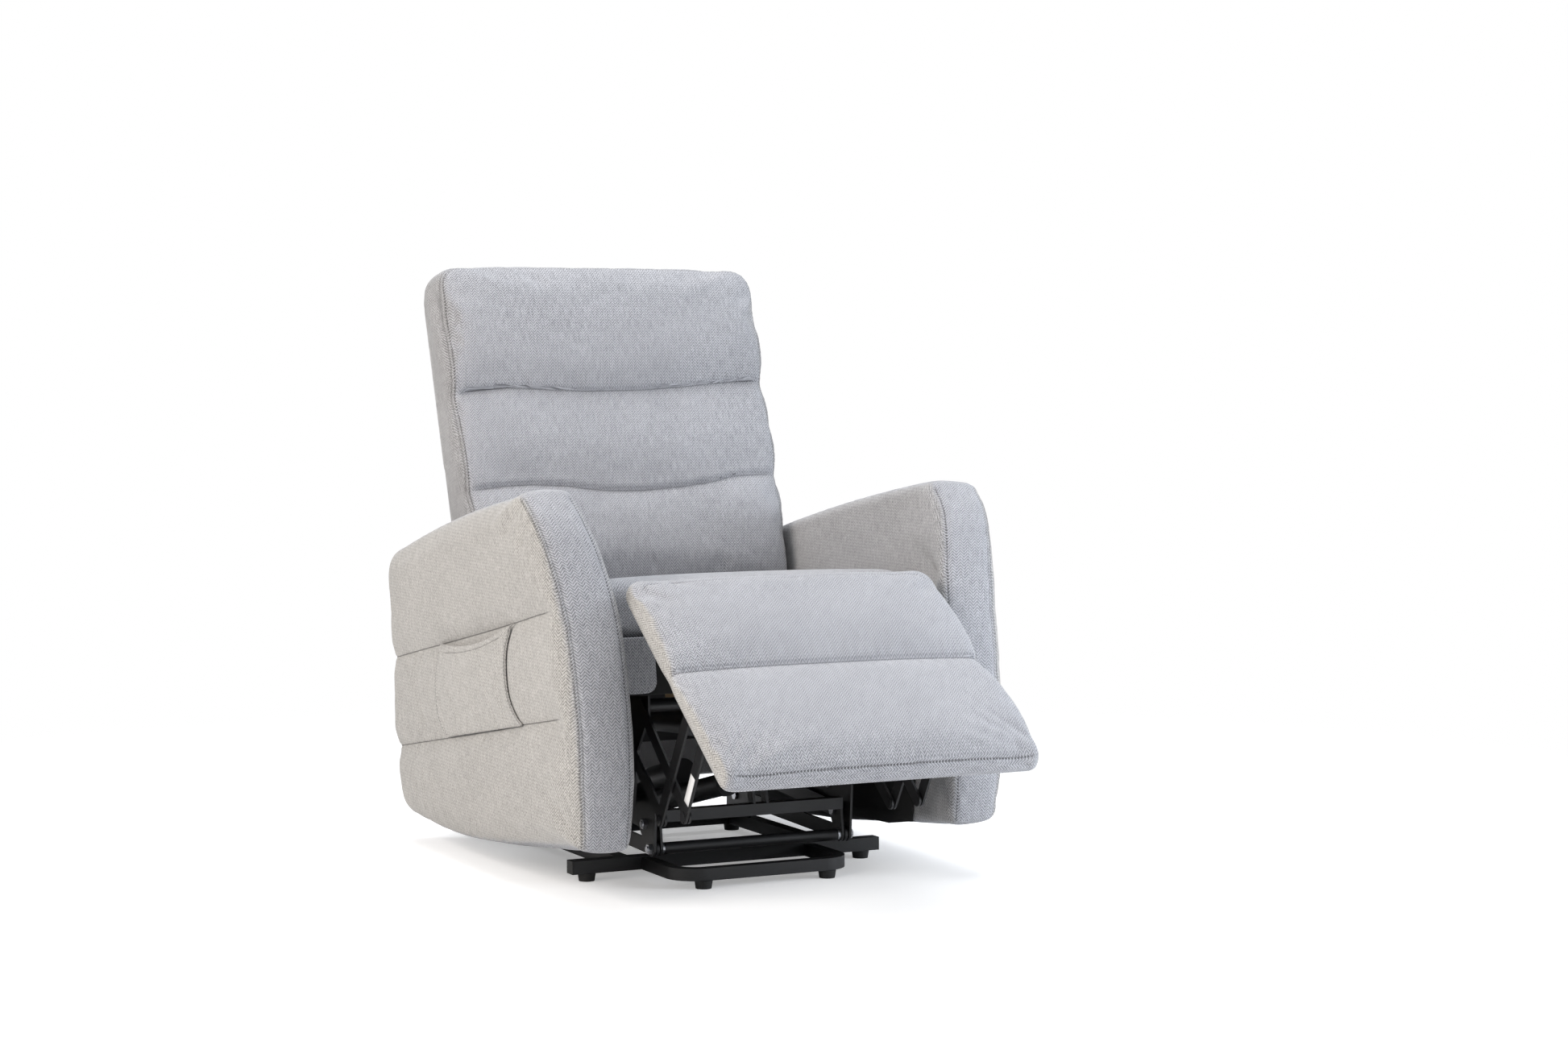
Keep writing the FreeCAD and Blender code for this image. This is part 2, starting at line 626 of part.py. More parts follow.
def actuators():
    foot_lug_root = (rear_tube_front_y + 8, frame_top - 8)
    lugs = clevis(lift_actuator_x, foot_lug_root, lift_actuator_foot, 9, True)
    below = box(-front_tube_half_length, front_tube_half_length, 0, rear_tube_rear_y + 50, 0, frame_top)
    weld_to("rear_cross_tube", cut_all(lugs, below))
    head_root = (cross_tube_front_y + cross_tube_depth / 2, cross_tube_bottom_z + cross_tube_height - 6)
    lugs = clevis(lift_actuator_x, head_root, lift_actuator_head, 10, False)
    cross_lift_top = cross_tube_bottom_z + cross_tube_height
    lugs = cut_all(lugs, box(-inner_plate_x, inner_plate_x, 0, rear_tube_rear_y, 0, cross_lift_top))
    weld_to("lift_cross_tube", lugs)
    ends = (lift_actuator_x, lift_actuator_foot, lift_actuator_head)
    add("lift_actuator_body", actuator_body(*ends, 350, 130))
    add("lift_actuator_rod", actuator_rod(*ends, 220))
    cross_top = rear_cross_bottom_z + rear_cross_size
    root = (rear_cross_front_y + rear_cross_size / 2, cross_top - 6)
    lugs = clevis(legrest_actuator_x, root, legrest_actuator_foot, 10, True)
    lugs = cut_all(lugs, box(-side_plate_inner_x, side_plate_inner_x, 0, rear_tube_rear_y, 0, cross_top))
    weld_to("seat_rear_cross_tube", lugs)
    ends = (legrest_actuator_x, legrest_actuator_foot, crank_end)
    add("legrest_actuator_body", actuator_body(*ends, 330, 120))
    add("legrest_actuator_rod", actuator_rod(*ends, 240))
    cross_rear = rear_cross_front_y + rear_cross_size
    root = (cross_rear - 4, rear_cross_bottom_z + rear_cross_size / 2)
    lugs = clevis(back_actuator_x, root, back_actuator_foot, 10, True)
    lugs = cut_all(lugs, box(-side_plate_inner_x, side_plate_inner_x, 0, cross_rear, 0, drive_pivot[1]))
    weld_to("seat_rear_cross_tube", lugs)
    ends = (back_actuator_x, back_actuator_foot, back_actuator_head)
    add("back_actuator_body", actuator_body(*ends, 122, 66))
    add("back_actuator_rod", actuator_rod(*ends, 88))
    root = back_tube_centre
    lugs = clevis(back_actuator_x, root, back_actuator_head, 10, False)
    half = back_tube_size / 2
    tube_space = box(-back_low_half_width, back_low_half_width, root[0] - half, root[0] + half,
                     root[1] - half, root[1] + half)
    weld_to("back_bottom_tube", cut_all(lugs, tube_space))


# Seat box and webbing


def seat_beam(x0, x1, u0, u1, v0, v1):
    return plate(x0, x1, [seat_point(u0, v0), seat_point(u1, v0), seat_point(u1, v1), seat_point(u0, v1)])


def seat_box():
    t = seat_rail_thickness
    w = seat_box_half_width
    h = seat_rail_height
    add("seat_front_rail", seat_beam(-w, w, 0, t, 0, h))
    side = seat_beam(w - t, w, t, seat_box_depth - t, 0, h)
    side = pierced(side, arm_bolt_radius + pivot_gap, arm_bolt_centres(), w - t - 1, w + 1)
    add("seat_side_rails", group(pair(side)))
    add("seat_rear_rail", seat_beam(-w, w, seat_box_depth - t, seat_box_depth, 0, h))
    panel = seat_beam(w - front_panel_width, w, -6, -seat_gap, 1, h - 3)
    front_face = min(panel.Faces, key=lambda f: f.CenterOfMass.y)
    panel = panel.makeFillet(2.5, front_face.Edges)
    add("seat_front_panels", group(pair(panel)))


def seat_straps():
    """Elastic webbing from the front rail to the rear rail, stapled on their tops, under the cushion."""
    h = seat_rail_height
    first = seat_box_half_width - seat_rail_thickness - strap_width
    pitch = 2 * first / (strap_count - 1)
    straps = []
    for i in range(strap_count):
        x = -first + pitch * i
        straps.append(seat_beam(x - strap_width / 2, x + strap_width / 2, seat_rail_thickness - strap_lap,
                                seat_box_depth - seat_rail_thickness + strap_lap, h, h + strap_thickness))
    add("seat_straps", group(straps))


# Soft forms: lofts along X through side-view outlines of arcs and lines


def outline_wire(points_at, corners):
    """A closed wire from a list of corners; a corner with a middle point starts an arc through it."""
    edges = []
    count = len(corners)
    for i in range(count):
        start, middle = corners[i]
        end = corners[(i + 1) % count][0]
        if middle is None:
            edges.append(Part.LineSegment(points_at(start), points_at(end)).toShape())
        else:
            edges.append(Part.Arc(points_at(start), points_at(middle), points_at(end)).toShape())
    return Part.Wire(edges)


def loft(wires):
    solid = Part.makeLoft(wires, True, True)
    if solid.Volume < 0:
        solid.reverse()
    return solid


def seat_cushion():
    sections = []
    front = cushion_front_y
    rear = cushion_rear_y
    low = seat_rail_height + strap_thickness + seat_gap
    middle_y = (front + rear) / 2
    middle_z = (cushion_front_top_z + cushion_rear_top_z) / 2
    for x, inset, crown in ((-1.0, 9, 0), (-0.965, 1.5, 3), (-0.5, 0, cushion_crown * 0.8),
                            (0.5, 0, cushion_crown * 0.8), (0.965, 1.5, 3), (1.0, 9, 0)):
        def points_at(p, x=x):
            return Vector(x * cushion_half_width, p[0], p[1])
        top = cushion_front_top_z - inset
        rear_top = cushion_rear_top_z - inset
        low_front = seat_point(6 + inset, low)
        low_rear = seat_point(seat_box_depth - 26 - inset, low)
        corners = [
            (low_front, (front + inset, (low_front[1] + cushion_front_top_z) / 2)),
            ((front + 12 + inset, top - 12), (front + 17 + inset, top - 4)),
            ((front + 26 + inset, top), (middle_y, middle_z - inset + crown + 6)),
            ((rear - 16, rear_top), (rear - 4, rear_top - 9)),
            ((rear - inset, rear_top - 24), None),
            (low_rear, None),
        ]
        sections.append(outline_wire(points_at, corners))
    add("seat_cushion", loft(sections))


def back_point(n, a):
    """Side-view point of the backrest: n is depth from its front, a the height along its lean."""
    c = math.cos(deg(back_lean_deg))
    s = math.sin(deg(back_lean_deg))
    return (back_front_bottom[0] + n * c + a * s, back_front_bottom[1] - n * s + a * c)


def back_side_x(a):
    """Half width of the backrest at a height: it narrows a little towards the seat."""
    return back_low_half_width + (back_half_width - back_low_half_width) * a / back_height


def back_section(side, inset, crown, drop):
    def points_at(p):
        n, a = p
        y, z = back_point(n, a)
        return Vector(side * back_side_x(a), y, z)
    top = back_height - drop
    rear = back_frame_depth + back_frame_thickness - inset * 0.5
    c1 = back_channel_low
    c2 = back_channel_high
    d1 = back_channel_low_depth + inset
    d2 = back_channel_high_depth + inset
    corners = [
        ((8 + inset, 2), (-10 + inset - crown, c1 * 0.52)),
        ((d1, c1), ((d1 + d2) / 2 - 22 - crown * 0.7, (c1 + c2) / 2)),
        ((d2, c2), (4 + inset - crown * 0.7, (c2 + top) / 2)),
        ((20 + inset, top - 16), (52, top + 4 - inset)),
        ((rear, top - 22), None),
        ((rear, 2), None),
    ]
    return outline_wire(points_at, corners)


def back_block(x0, x1, n0, n1, a0, a1):
    return plate(x0, x1, [back_point(n0, a0), back_point(n1, a0), back_point(n1, a1), back_point(n0, a1)])


back_tube_size = 20.0
back_tube_centre = back_point(back_frame_depth + 8, -32)


def backrest():
    stations = ((-1.0, 9, 0, 50), (-0.95, 1.5, 3, 14), (-0.5, 0, back_crown, 0),
                (0.5, 0, back_crown, 0), (0.95, 1.5, 3, 14), (1.0, 9, 0, 50))
    cushion = loft([back_section(*station) for station in stations])
    front = back_frame_depth
    rear = back_frame_depth + back_frame_thickness
    top = back_height - 64
    pocket = back_block(-back_frame_half - seat_gap, back_frame_half + seat_gap, front - seat_gap, rear + 20,
                        -10, top + seat_gap)
    add("back_cushion", cushion.cut(pocket))
    upright = back_block(back_upright_inner, back_frame_half, front, rear, 4, top)
    add("back_uprights", group(pair(upright)))
    rails = []
    low_half = back_upright_inner - lift_plate_thickness - seat_gap
    for a, half in ((4, low_half), ((top - back_rail_width) / 2, back_upright_inner),
                    (top - back_rail_width, back_upright_inner)):
        rails.append(back_block(-half, half, front, rear, a, a + back_rail_width))
    add("back_rails", group(rails))
    half = back_low_half_width
    panel = back_block(-half, half, rear + seat_gap, back_depth, -4, back_height - 20)
    top_corners = [e for e in panel.Edges if e.Length < 20 and e.CenterOfMass.z > panel.CenterOfMass.z]
    panel = panel.makeFillet(back_corner_radius, top_corners)
    depth_way = Vector(0, math.cos(deg(back_lean_deg)), -math.sin(deg(back_lean_deg)))
    rear_face = max(panel.Faces, key=lambda f: f.CenterOfMass.dot(depth_way))
    add("outside_back", panel.makeFillet(6, rear_face.Edges))


def back_hinge():
    """Brackets on the rear rail that carry the back pivots, and the steel brackets of the back frame."""
    web_x = back_upright_inner + 2.0
    py, pz = back_pivot
    low = seat_point(seat_box_depth, 6)
    high = seat_point(seat_box_depth, seat_rail_height - 2)
    web = plate(web_x, web_x + lift_plate_thickness,
                [low, (low[0] + 14, low[1]), (py + 12, pz - 30), (py + 14, pz + 4), (py + 6, pz + 14),
                 (py - 8, pz + 13), (py - 15, pz), high])
    web = pierced(web, lift_pin_radius + pivot_gap, (back_pivot,), web_x - 1, web_x + 10)
    flange = seat_beam(web_x - 30, web_x + lift_plate_thickness, seat_box_depth, seat_box_depth + 3,
                       6, seat_rail_height - 2)
    add("back_hinge_brackets", group(pair(web.fuse(flange).removeSplitter())))
    bracket_x = back_upright_inner - lift_plate_thickness
    foot = back_point(back_frame_depth + 2, -2)
    outline = [(py - 12, pz - 8), (py + 2, pz - 14), (back_tube_centre[0] + 14, back_tube_centre[1] - 14),
               back_point(back_frame_depth + back_frame_thickness - 1, -20),
               back_point(back_frame_depth + back_frame_thickness - 1, 200),
               back_point(back_frame_depth + 1, 200), foot, (py + 6, pz + 15), (py - 10, pz + 12)]
    bracket = plate(bracket_x, bracket_x + lift_plate_thickness, outline)
    add("back_brackets", group(pair(bracket)))
    half = back_tube_size / 2
    cy, cz = back_tube_centre
    add("back_bottom_tube", tube_x(-bracket_x, bracket_x, cy - half, cy + half, cz - half, cz + half, 2.0))
    x0 = bracket_x + lift_plate_thickness
    x1 = web_x + lift_plate_thickness
    pin = disc(lift_pin_radius, x0, x1 + 2, back_pivot)
    pin = pin.fuse(disc(lift_pin_radius + 3, x1 + 0.3, x1 + 3, back_pivot)).removeSplitter()
    add("back_pivot_pins", group(pair(pin)))


def pad_point(s, d):
    """Side-view point of the legrest: s runs down its slope from the top edge, d is depth below its face."""
    c = math.cos(deg(pad_slope_deg))
    si = math.sin(deg(pad_slope_deg))
    return (pad_top_edge[0] - s * c + d * si, pad_top_edge[1] - s * si - d * c)


def pad_block(x0, x1, s0, s1, d0, d1):
    return plate(x0, x1, [pad_point(s0, d0), pad_point(s1, d0), pad_point(s1, d1), pad_point(s0, d1)])


def legrest_pad():
    sections = []
    for x, inset, crown in ((-1.0, 8, 0), (-0.965, 2, 2), (-0.5, 0, pad_crown), (0.5, 0, pad_crown),
                            (0.965, 2, 2), (1.0, 8, 0)):
        def points_at(p, x=x):
            y, z = pad_point(p[0], p[1])
            return Vector(x * pad_half_width, y, z)
        low = pad_side_depth - inset * 0.3
        corners = [
            ((2 + inset, low), (-1 + inset, low * 0.5)),
            ((8 + inset, 5 + inset), (pad_channel / 2, 1 + inset - crown)),
            ((pad_channel, 9 + inset), ((pad_channel + pad_length) / 2, 1 + inset - crown)),
            ((pad_length - 7 - inset, 7 + inset), (pad_length + 1 - inset, low * 0.55)),
            ((pad_length - 4 - inset, low), None),
        ]
        sections.append(outline_wire(points_at, corners))
    add("legrest_cushion", loft(sections))
    board_half = pad_half_width - pad_board_side_inset
    d0 = pad_side_depth + seat_gap
    d1 = d0 + pad_board_thickness
    add("legrest_board", pad_block(-board_half, board_half, 10, pad_length - pad_board_low_inset, d0, d1))
    x0 = third_link_x
    x1 = third_link_x + link_thickness
    s1 = pad_bracket_start
    s2 = pad_bracket_end
    web = [pad_point(s1, d1), pad_point(s2, d1), pad_point(s2 - 6, d1 + pad_bracket_drop + 8),
           pad_point(s2 - 18, d1 + pad_bracket_drop + 13), pad_point(s1 + 14, d1 + pad_bracket_drop + 13),
           pad_point(s1 + 4, d1 + pad_bracket_drop + 6)]
    bracket = plate(x0, x1, web)
    bracket = bracket.fuse(pad_block(x0, x1 + 22, s1, s2, d1, d1 + 3)).removeSplitter()
    bracket = studded(bracket, x0 + 1, second_link_x, (pad_rear_joint, pad_front_joint))
    add("legrest_brackets", group(pair(bracket)))


# Arms


def arm_inner_x(z):
    share = (z - arm_bottom_z) / (arm_top_z - arm_bottom_z)
    return arm_inner_bottom_x + (arm_inner_top_x - arm_inner_bottom_x) * share


def arm_outer_x(z):
    share = (z - arm_bottom_z) / (arm_top_z - arm_bottom_z)
    return arm_outer_bottom_x + (arm_outer_top_x - arm_outer_bottom_x) * share


arm_middle = (400.0, 330.0)
arm_corners = [
    ((7.0, 95.0), (-5.0, 215.0)),
    ((3.0, 365.0), (56.0, 532.0)),
    ((140.0, 634.0), (152.0, 643.0)),
    ((168.0, 642.0), (462.0, 592.0)),
    ((764.0, 520.0), (808.0, 492.0)),
    ((825.0, 440.0), (821.0, 280.0)),
    ((808.0, 120.0), (803.0, 72.0)),
    ((768.0, 48.0), (568.0, 37.0)),
    ((308.0, 58.0), (158.0, 77.0)),
    ((26.0, 91.0), (14.0, 90.0)),
]


def arm_section(share, inset, grow=0.0):
    """Side outline of the arm in the leaning plane at a share of its width from the inner face."""
    reach_y = 415.0
    reach_z = 300.0

    def points_at(p):
        y = arm_middle[0] + (p[0] - arm_middle[0]) * (1 - inset / reach_y)
        z = arm_middle[1] + (p[1] - arm_middle[1]) * (1 - inset / reach_z)
        inner = arm_inner_x(z)
        outer = arm_outer_x(z) + grow
        return Vector(inner + (outer - inner) * share, y, z)
    return outline_wire(points_at, arm_corners)


def arm_body(grow=0.0):
    stations = ((0.0, 8), (0.07, 1.0), (0.5, -1), (0.9, 1.5), (0.97, 6), (1.0, arm_edge_round))
    return loft([arm_section(share, inset - grow * 0.3, grow) for share, inset in stations])


def arm_bolt_centres():
    return [seat_point(u, seat_rail_height / 2) for u in (arm_bolt_inset, seat_box_depth - arm_bolt_inset)]


def seam_cutter(front_z):
    """A shallow notch that runs round the arm's outer side and front along a seam."""
    length = 900.0
    drop = length * math.tan(deg(arm_seam_slope_deg))
    y0 = -60.0
    z0 = front_z + 60 * math.tan(deg(arm_seam_slope_deg)) * 0.4
    x = arm_outer_x(front_z)
    profile = [Vector(x + 8, y0, z0 + 9), Vector(x - arm_seam_depth, y0, z0), Vector(x + 8, y0, z0 - 9)]
    face = Part.Face(Part.makePolygon(profile + [profile[0]]))
    lean = -drop * (arm_outer_top_x - arm_outer_bottom_x) / (arm_top_z - arm_bottom_z)
    return face.extrude(Vector(lean, length, -drop))


def arm_board_outline(inset):
    return [(55 + inset, 122 + inset), (45 + inset, 330), (92 + inset, 520 - inset),
            (172 + inset, 588 - inset), (462, 548 - inset), (722 - inset, 486 - inset),
            (766 - inset, 430 - inset), (762 - inset, 110 + inset), (708 - inset, 78 + inset),
            (420, 84 + inset)]


def arms():
    x0 = arm_board_inner_x
    x1 = arm_board_inner_x + arm_board_thickness
    body = arm_body()
    pocket_space = plate(x0 - seat_gap, x1 + seat_gap, arm_board_outline(-seat_gap))
    body = body.cut(pocket_space)
    for front_z in arm_seam_front_z:
        body = body.cut(seam_cutter(front_z))
    body = pierced(body, arm_bolt_radius + seat_gap, arm_bolt_centres(), seat_box_half_width - 10, x0 + 1)
    board = plate(x0, x1, arm_board_outline(0))
    board = pierced(board, arm_bolt_radius + pivot_gap, arm_bolt_centres(), x0 - 1, x1 + 1)
    add("arm_right", body)
    add("arm_left", mirrored(body))
    add("arm_boards", group(pair(board)))
    bolts = []
    inner = seat_box_half_width - seat_rail_thickness
    for centre in arm_bolt_centres():
        shank = disc(arm_bolt_radius, inner - 0.5, x1 - 1, centre)
        bolts += pair(shank.fuse(prism(inner - 4, inner, centre, arm_bolt_radius * 1.75)).removeSplitter())
    add("arm_bolts", group(bolts))


def pocket_patch(inset, top):
    """Outline of the side pocket on the arm; its mouth is the upper edge."""
    return [(225 + inset, 424 + top), (246 + inset, 358), (244 + inset, 305), (226 + inset, 281 + inset),
            (543 - inset, 223 + inset), (579 - inset, 250 + inset), (591 - inset, 271 + inset),
            (577 - inset, 326), (560 - inset, 362), (523 - inset, 374 + top)]


def side_pocket():
    """An open cloth pocket sewn to the outer side of the left arm along its front, rear and lower edges."""
    x0 = arm_board_inner_x
    x1 = arm_outer_top_x + 40
    prism = plate(x0, x1, pocket_patch(0, 0))
    hollow = plate(x0, x1, pocket_patch(pocket_hem, 30)).common(arm_body(pocket_gap))
    shell = arm_body(pocket_gap + pocket_cloth).cut(arm_body(soft_gap))
    solid = prism.common(shell).cut(hollow)
    solid = max(solid.Solids, key=lambda piece: piece.Volume)
    add("side_pocket", mirrored(solid))


def arm_linings():
    """Black cloth on the lower inner faces of the arms, behind the upholstered front edge."""
    outline = [(lining_front_y, 232), (lining_front_y, 78), (214, 64), (375, 59), (584, 58), (669, 66),
               (lining_rear_y, 84), (lining_rear_y, 150)]
    corners = [Vector(arm_inner_x(z) - seat_gap, y, z) for y, z in outline]
    face = Part.Face(Part.makePolygon(corners + [corners[0]]))
    add("arm_linings", group(pair(face.extrude(Vector(-lining_thickness, 0, 0)))))


def rear_panel():
    """The upholstered panel that closes the rear of the chair between the arms."""
    y0 = rear_panel_front_y
    z0 = rear_panel_bottom_z
    z1 = rear_panel_top_z
    low = arm_inner_x(z0) - seat_gap
    high = arm_inner_x(z1) - seat_gap
    corners = [Vector(-low, y0, z0), Vector(low, y0, z0), Vector(high, y0, z1), Vector(-high, y0, z1)]
    panel = Part.Face(Part.makePolygon(corners + [corners[0]])).extrude(Vector(0, rear_panel_thickness, 0))
    add("rear_panel", panel.makeFillet(5, [e for e in panel.Edges if e.Length > 200]))


floor_frame()
floor_frame_trim()
riser_plates()
lower_lift_arms()
upper_lift_arms()
lift_carrier()
spacers()
side_plates()
drive_links()
scissor_links()
seat_box()
seat_straps()
seat_cushion()
backrest()
back_hinge()
actuators()
legrest_pad()
arms()
arm_linings()
side_pocket()
rear_panel()

os.makedirs("parts", exist_ok=True)
shift = Vector(0, -floor_centre_y, 0)
low = Vector(1e9, 1e9, 1e9)
high = Vector(-1e9, -1e9, -1e9)
for name in sorted(nodes):
    shape = nodes[name].copy()
    shape.translate(shift)
    shape.exportStep("parts/" + name + ".step")
    bounds = shape.BoundBox
    low = Vector(min(low.x, bounds.XMin), min(low.y, bounds.YMin), min(low.z, bounds.ZMin))
    high = Vector(max(high.x, bounds.XMax), max(high.y, bounds.YMax), max(high.z, bounds.ZMax))
print(len(nodes), "nodes; box", low, high)
drive_low = drive_ratio * legrest_closed_deg
drive_high = drive_ratio * legrest_open_deg
print("legrest drive link turns", round(drive_low, 2), "to", round(drive_high, 2), "degrees about -X")
long_turn = (long_link_ratio - drive_ratio) / drive_ratio
pad_turn = (1 - long_link_ratio) / drive_ratio
rear_turn = rear_link_ratio / drive_ratio
print("follow it: long and front links", round(long_turn, 4), "pad", round(pad_turn, 4),
      "rear links", round(rear_turn, 4))
print("lift arms turn 0 to", lift_travel_deg, "degrees; the chair frame turns back", 1 + chair_tilt_per_lift)
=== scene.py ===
import json
import math

import bmesh
import bpy
import numpy as np
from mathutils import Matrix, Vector
from mathutils.bvhtree import BVHTree


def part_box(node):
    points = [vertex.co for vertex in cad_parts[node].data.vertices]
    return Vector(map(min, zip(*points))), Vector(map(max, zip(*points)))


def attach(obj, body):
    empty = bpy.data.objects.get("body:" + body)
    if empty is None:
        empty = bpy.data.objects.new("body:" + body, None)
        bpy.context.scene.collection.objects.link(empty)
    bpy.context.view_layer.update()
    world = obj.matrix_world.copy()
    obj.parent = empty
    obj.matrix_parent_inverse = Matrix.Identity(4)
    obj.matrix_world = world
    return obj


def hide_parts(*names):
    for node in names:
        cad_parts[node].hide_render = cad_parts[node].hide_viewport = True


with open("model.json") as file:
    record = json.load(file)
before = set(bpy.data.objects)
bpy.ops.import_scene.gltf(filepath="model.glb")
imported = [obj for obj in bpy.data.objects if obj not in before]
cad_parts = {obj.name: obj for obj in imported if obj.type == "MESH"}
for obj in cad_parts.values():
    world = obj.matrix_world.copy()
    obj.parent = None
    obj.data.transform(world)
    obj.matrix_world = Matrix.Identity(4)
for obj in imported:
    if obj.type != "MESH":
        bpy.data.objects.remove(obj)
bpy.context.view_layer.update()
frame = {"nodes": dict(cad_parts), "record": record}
scene = bpy.context.scene
nodes = frame["nodes"]

# side views are in millimetres back from the arm fronts and up from the floor, like the frame's own source
armFrontToCentre = 288


def at(y, z):
    return Vector(((y - armFrontToCentre) / 1000, z / 1000))


# camera, as the photo was taken: low, from the front left
photo = {"place": (-2.186, -4.606, 0.872), "tilt": 86.7, "turn": -26.6, "lens": 70.3}
camera = bpy.data.objects.new("camera", bpy.data.cameras.new("camera"))
scene.collection.objects.link(camera)
camera.location = photo["place"]
camera.rotation_euler = (math.radians(photo["tilt"]), 0, math.radians(photo["turn"]))
camera.data.lens = photo["lens"]
camera.data.sensor_width = 36
camera.data.clip_end = 60
scene.camera = camera


# shader nodes: values are written as sums and products

class Value:
    def __init__(self, make, socket):
        self.make = make
        self.socket = socket

    def maths(self, operation, other=None, swapped=False):
        pair = [self] if other is None else [self, other]
        if swapped:
            pair.reverse()
        return self.make.node("ShaderNodeMath", {"operation": operation}, dict(enumerate(pair)))

    def __add__(self, other):
        return self.maths("ADD", other)

    def __sub__(self, other):
        return self.maths("SUBTRACT", other)

    def __mul__(self, other):
        return self.maths("MULTIPLY", other)

    def __truediv__(self, other):
        return self.maths("DIVIDE", other)

    def __rsub__(self, other):
        return self.maths("SUBTRACT", other, True)

    __radd__ = __add__
    __rmul__ = __mul__

    def __abs__(self):
        return self.maths("ABSOLUTE")

    def part(self):
        return self.maths("FRACT")

    def wave(self):
        return self.maths("SINE")

    def kept(self):
        return self.make.node("ShaderNodeClamp", {}, {"Value": self})


class Finish:
    def __init__(self, name):
        self.material = bpy.data.materials.new(name)
        self.material.use_nodes = True
        self.tree = self.material.node_tree
        self.tree.nodes.clear()

    def node(self, kind, settings, sockets, output=0):
        made = self.tree.nodes.new(kind)
        for key, value in settings.items():
            setattr(made, key, value)
        for key, value in sockets.items():
            if isinstance(value, Value):
                self.tree.links.new(value.socket, made.inputs[key])
            else:
                made.inputs[key].default_value = value
        return Value(self, made.outputs[output])

    def mixed(self, factor, first, second):
        colours = {"Factor": factor, 6: first, 7: second}
        return self.node("ShaderNodeMix", {"data_type": "RGBA"}, colours, 2)

    def noise(self, place, scale, detail=2.0):
        sockets = {"Vector": place, "Scale": scale, "Detail": detail}
        return self.node("ShaderNodeTexNoise", {}, sockets, "Fac")

    def object(self):
        return self.node("ShaderNodeTexCoord", {}, {}, "Object")

    def attribute(self, name):
        return self.node("ShaderNodeAttribute", {"attribute_name": name}, {}, "Vector")

    def split(self, vector):
        return [self.node("ShaderNodeSeparateXYZ", {}, {"Vector": vector}, axis) for axis in "XYZ"]

    def stretched(self, place, scale):
        return self.node("ShaderNodeMapping", {}, {"Vector": place, "Scale": scale})

    def raised(self, height, strength, distance):
        sockets = {"Height": height, "Strength": strength, "Distance": distance}
        return self.node("ShaderNodeBump", {}, sockets)

    def surface(self, **sockets):
        named = {key.replace("_", " "): value for key, value in sockets.items()}
        shader = self.node("ShaderNodeBsdfPrincipled", {}, named)
        output = self.tree.nodes.new("ShaderNodeOutputMaterial")
        self.tree.links.new(shader.socket, output.inputs["Surface"])
        return self.material


# woven cover: chevron columns across, fine twill along them, with slubs and specks; sewn lines are read
# from two point attributes that hold distance from the line, run along it and how much of it is there
weave = {
    "thread": 0.0016, "zigzag": 0.0116, "rise": 0.0072, "repeat": 0.0052, "depth": 0.0006,
    # the weight at the end of this line sets how far painted shade darkens a face
    "check": 0.30, "twill": 0.25, "yarn": 0.16, "warmLitYarn": 0.14, "slubs": 0.62, "clouds": 0.18, "paintedShade": 0.13,
    "light": (0.640, 0.645, 0.680), "dark": (0.095, 0.097, 0.108),
    # warm-lit tones: the same cloth painted paler, warmer and flatter, as painted warm light on faces turned
    # to the side lamp
    "warmLitLight": (0.600, 0.582, 0.556), "warmLitDark": (0.158, 0.151, 0.142),
    # seam colour: painted shadow along seam grooves, and also the dark stitch thread
    "seam": (0.040, 0.038, 0.038), "pitch": 0.0056, "line": 0.0012,
}


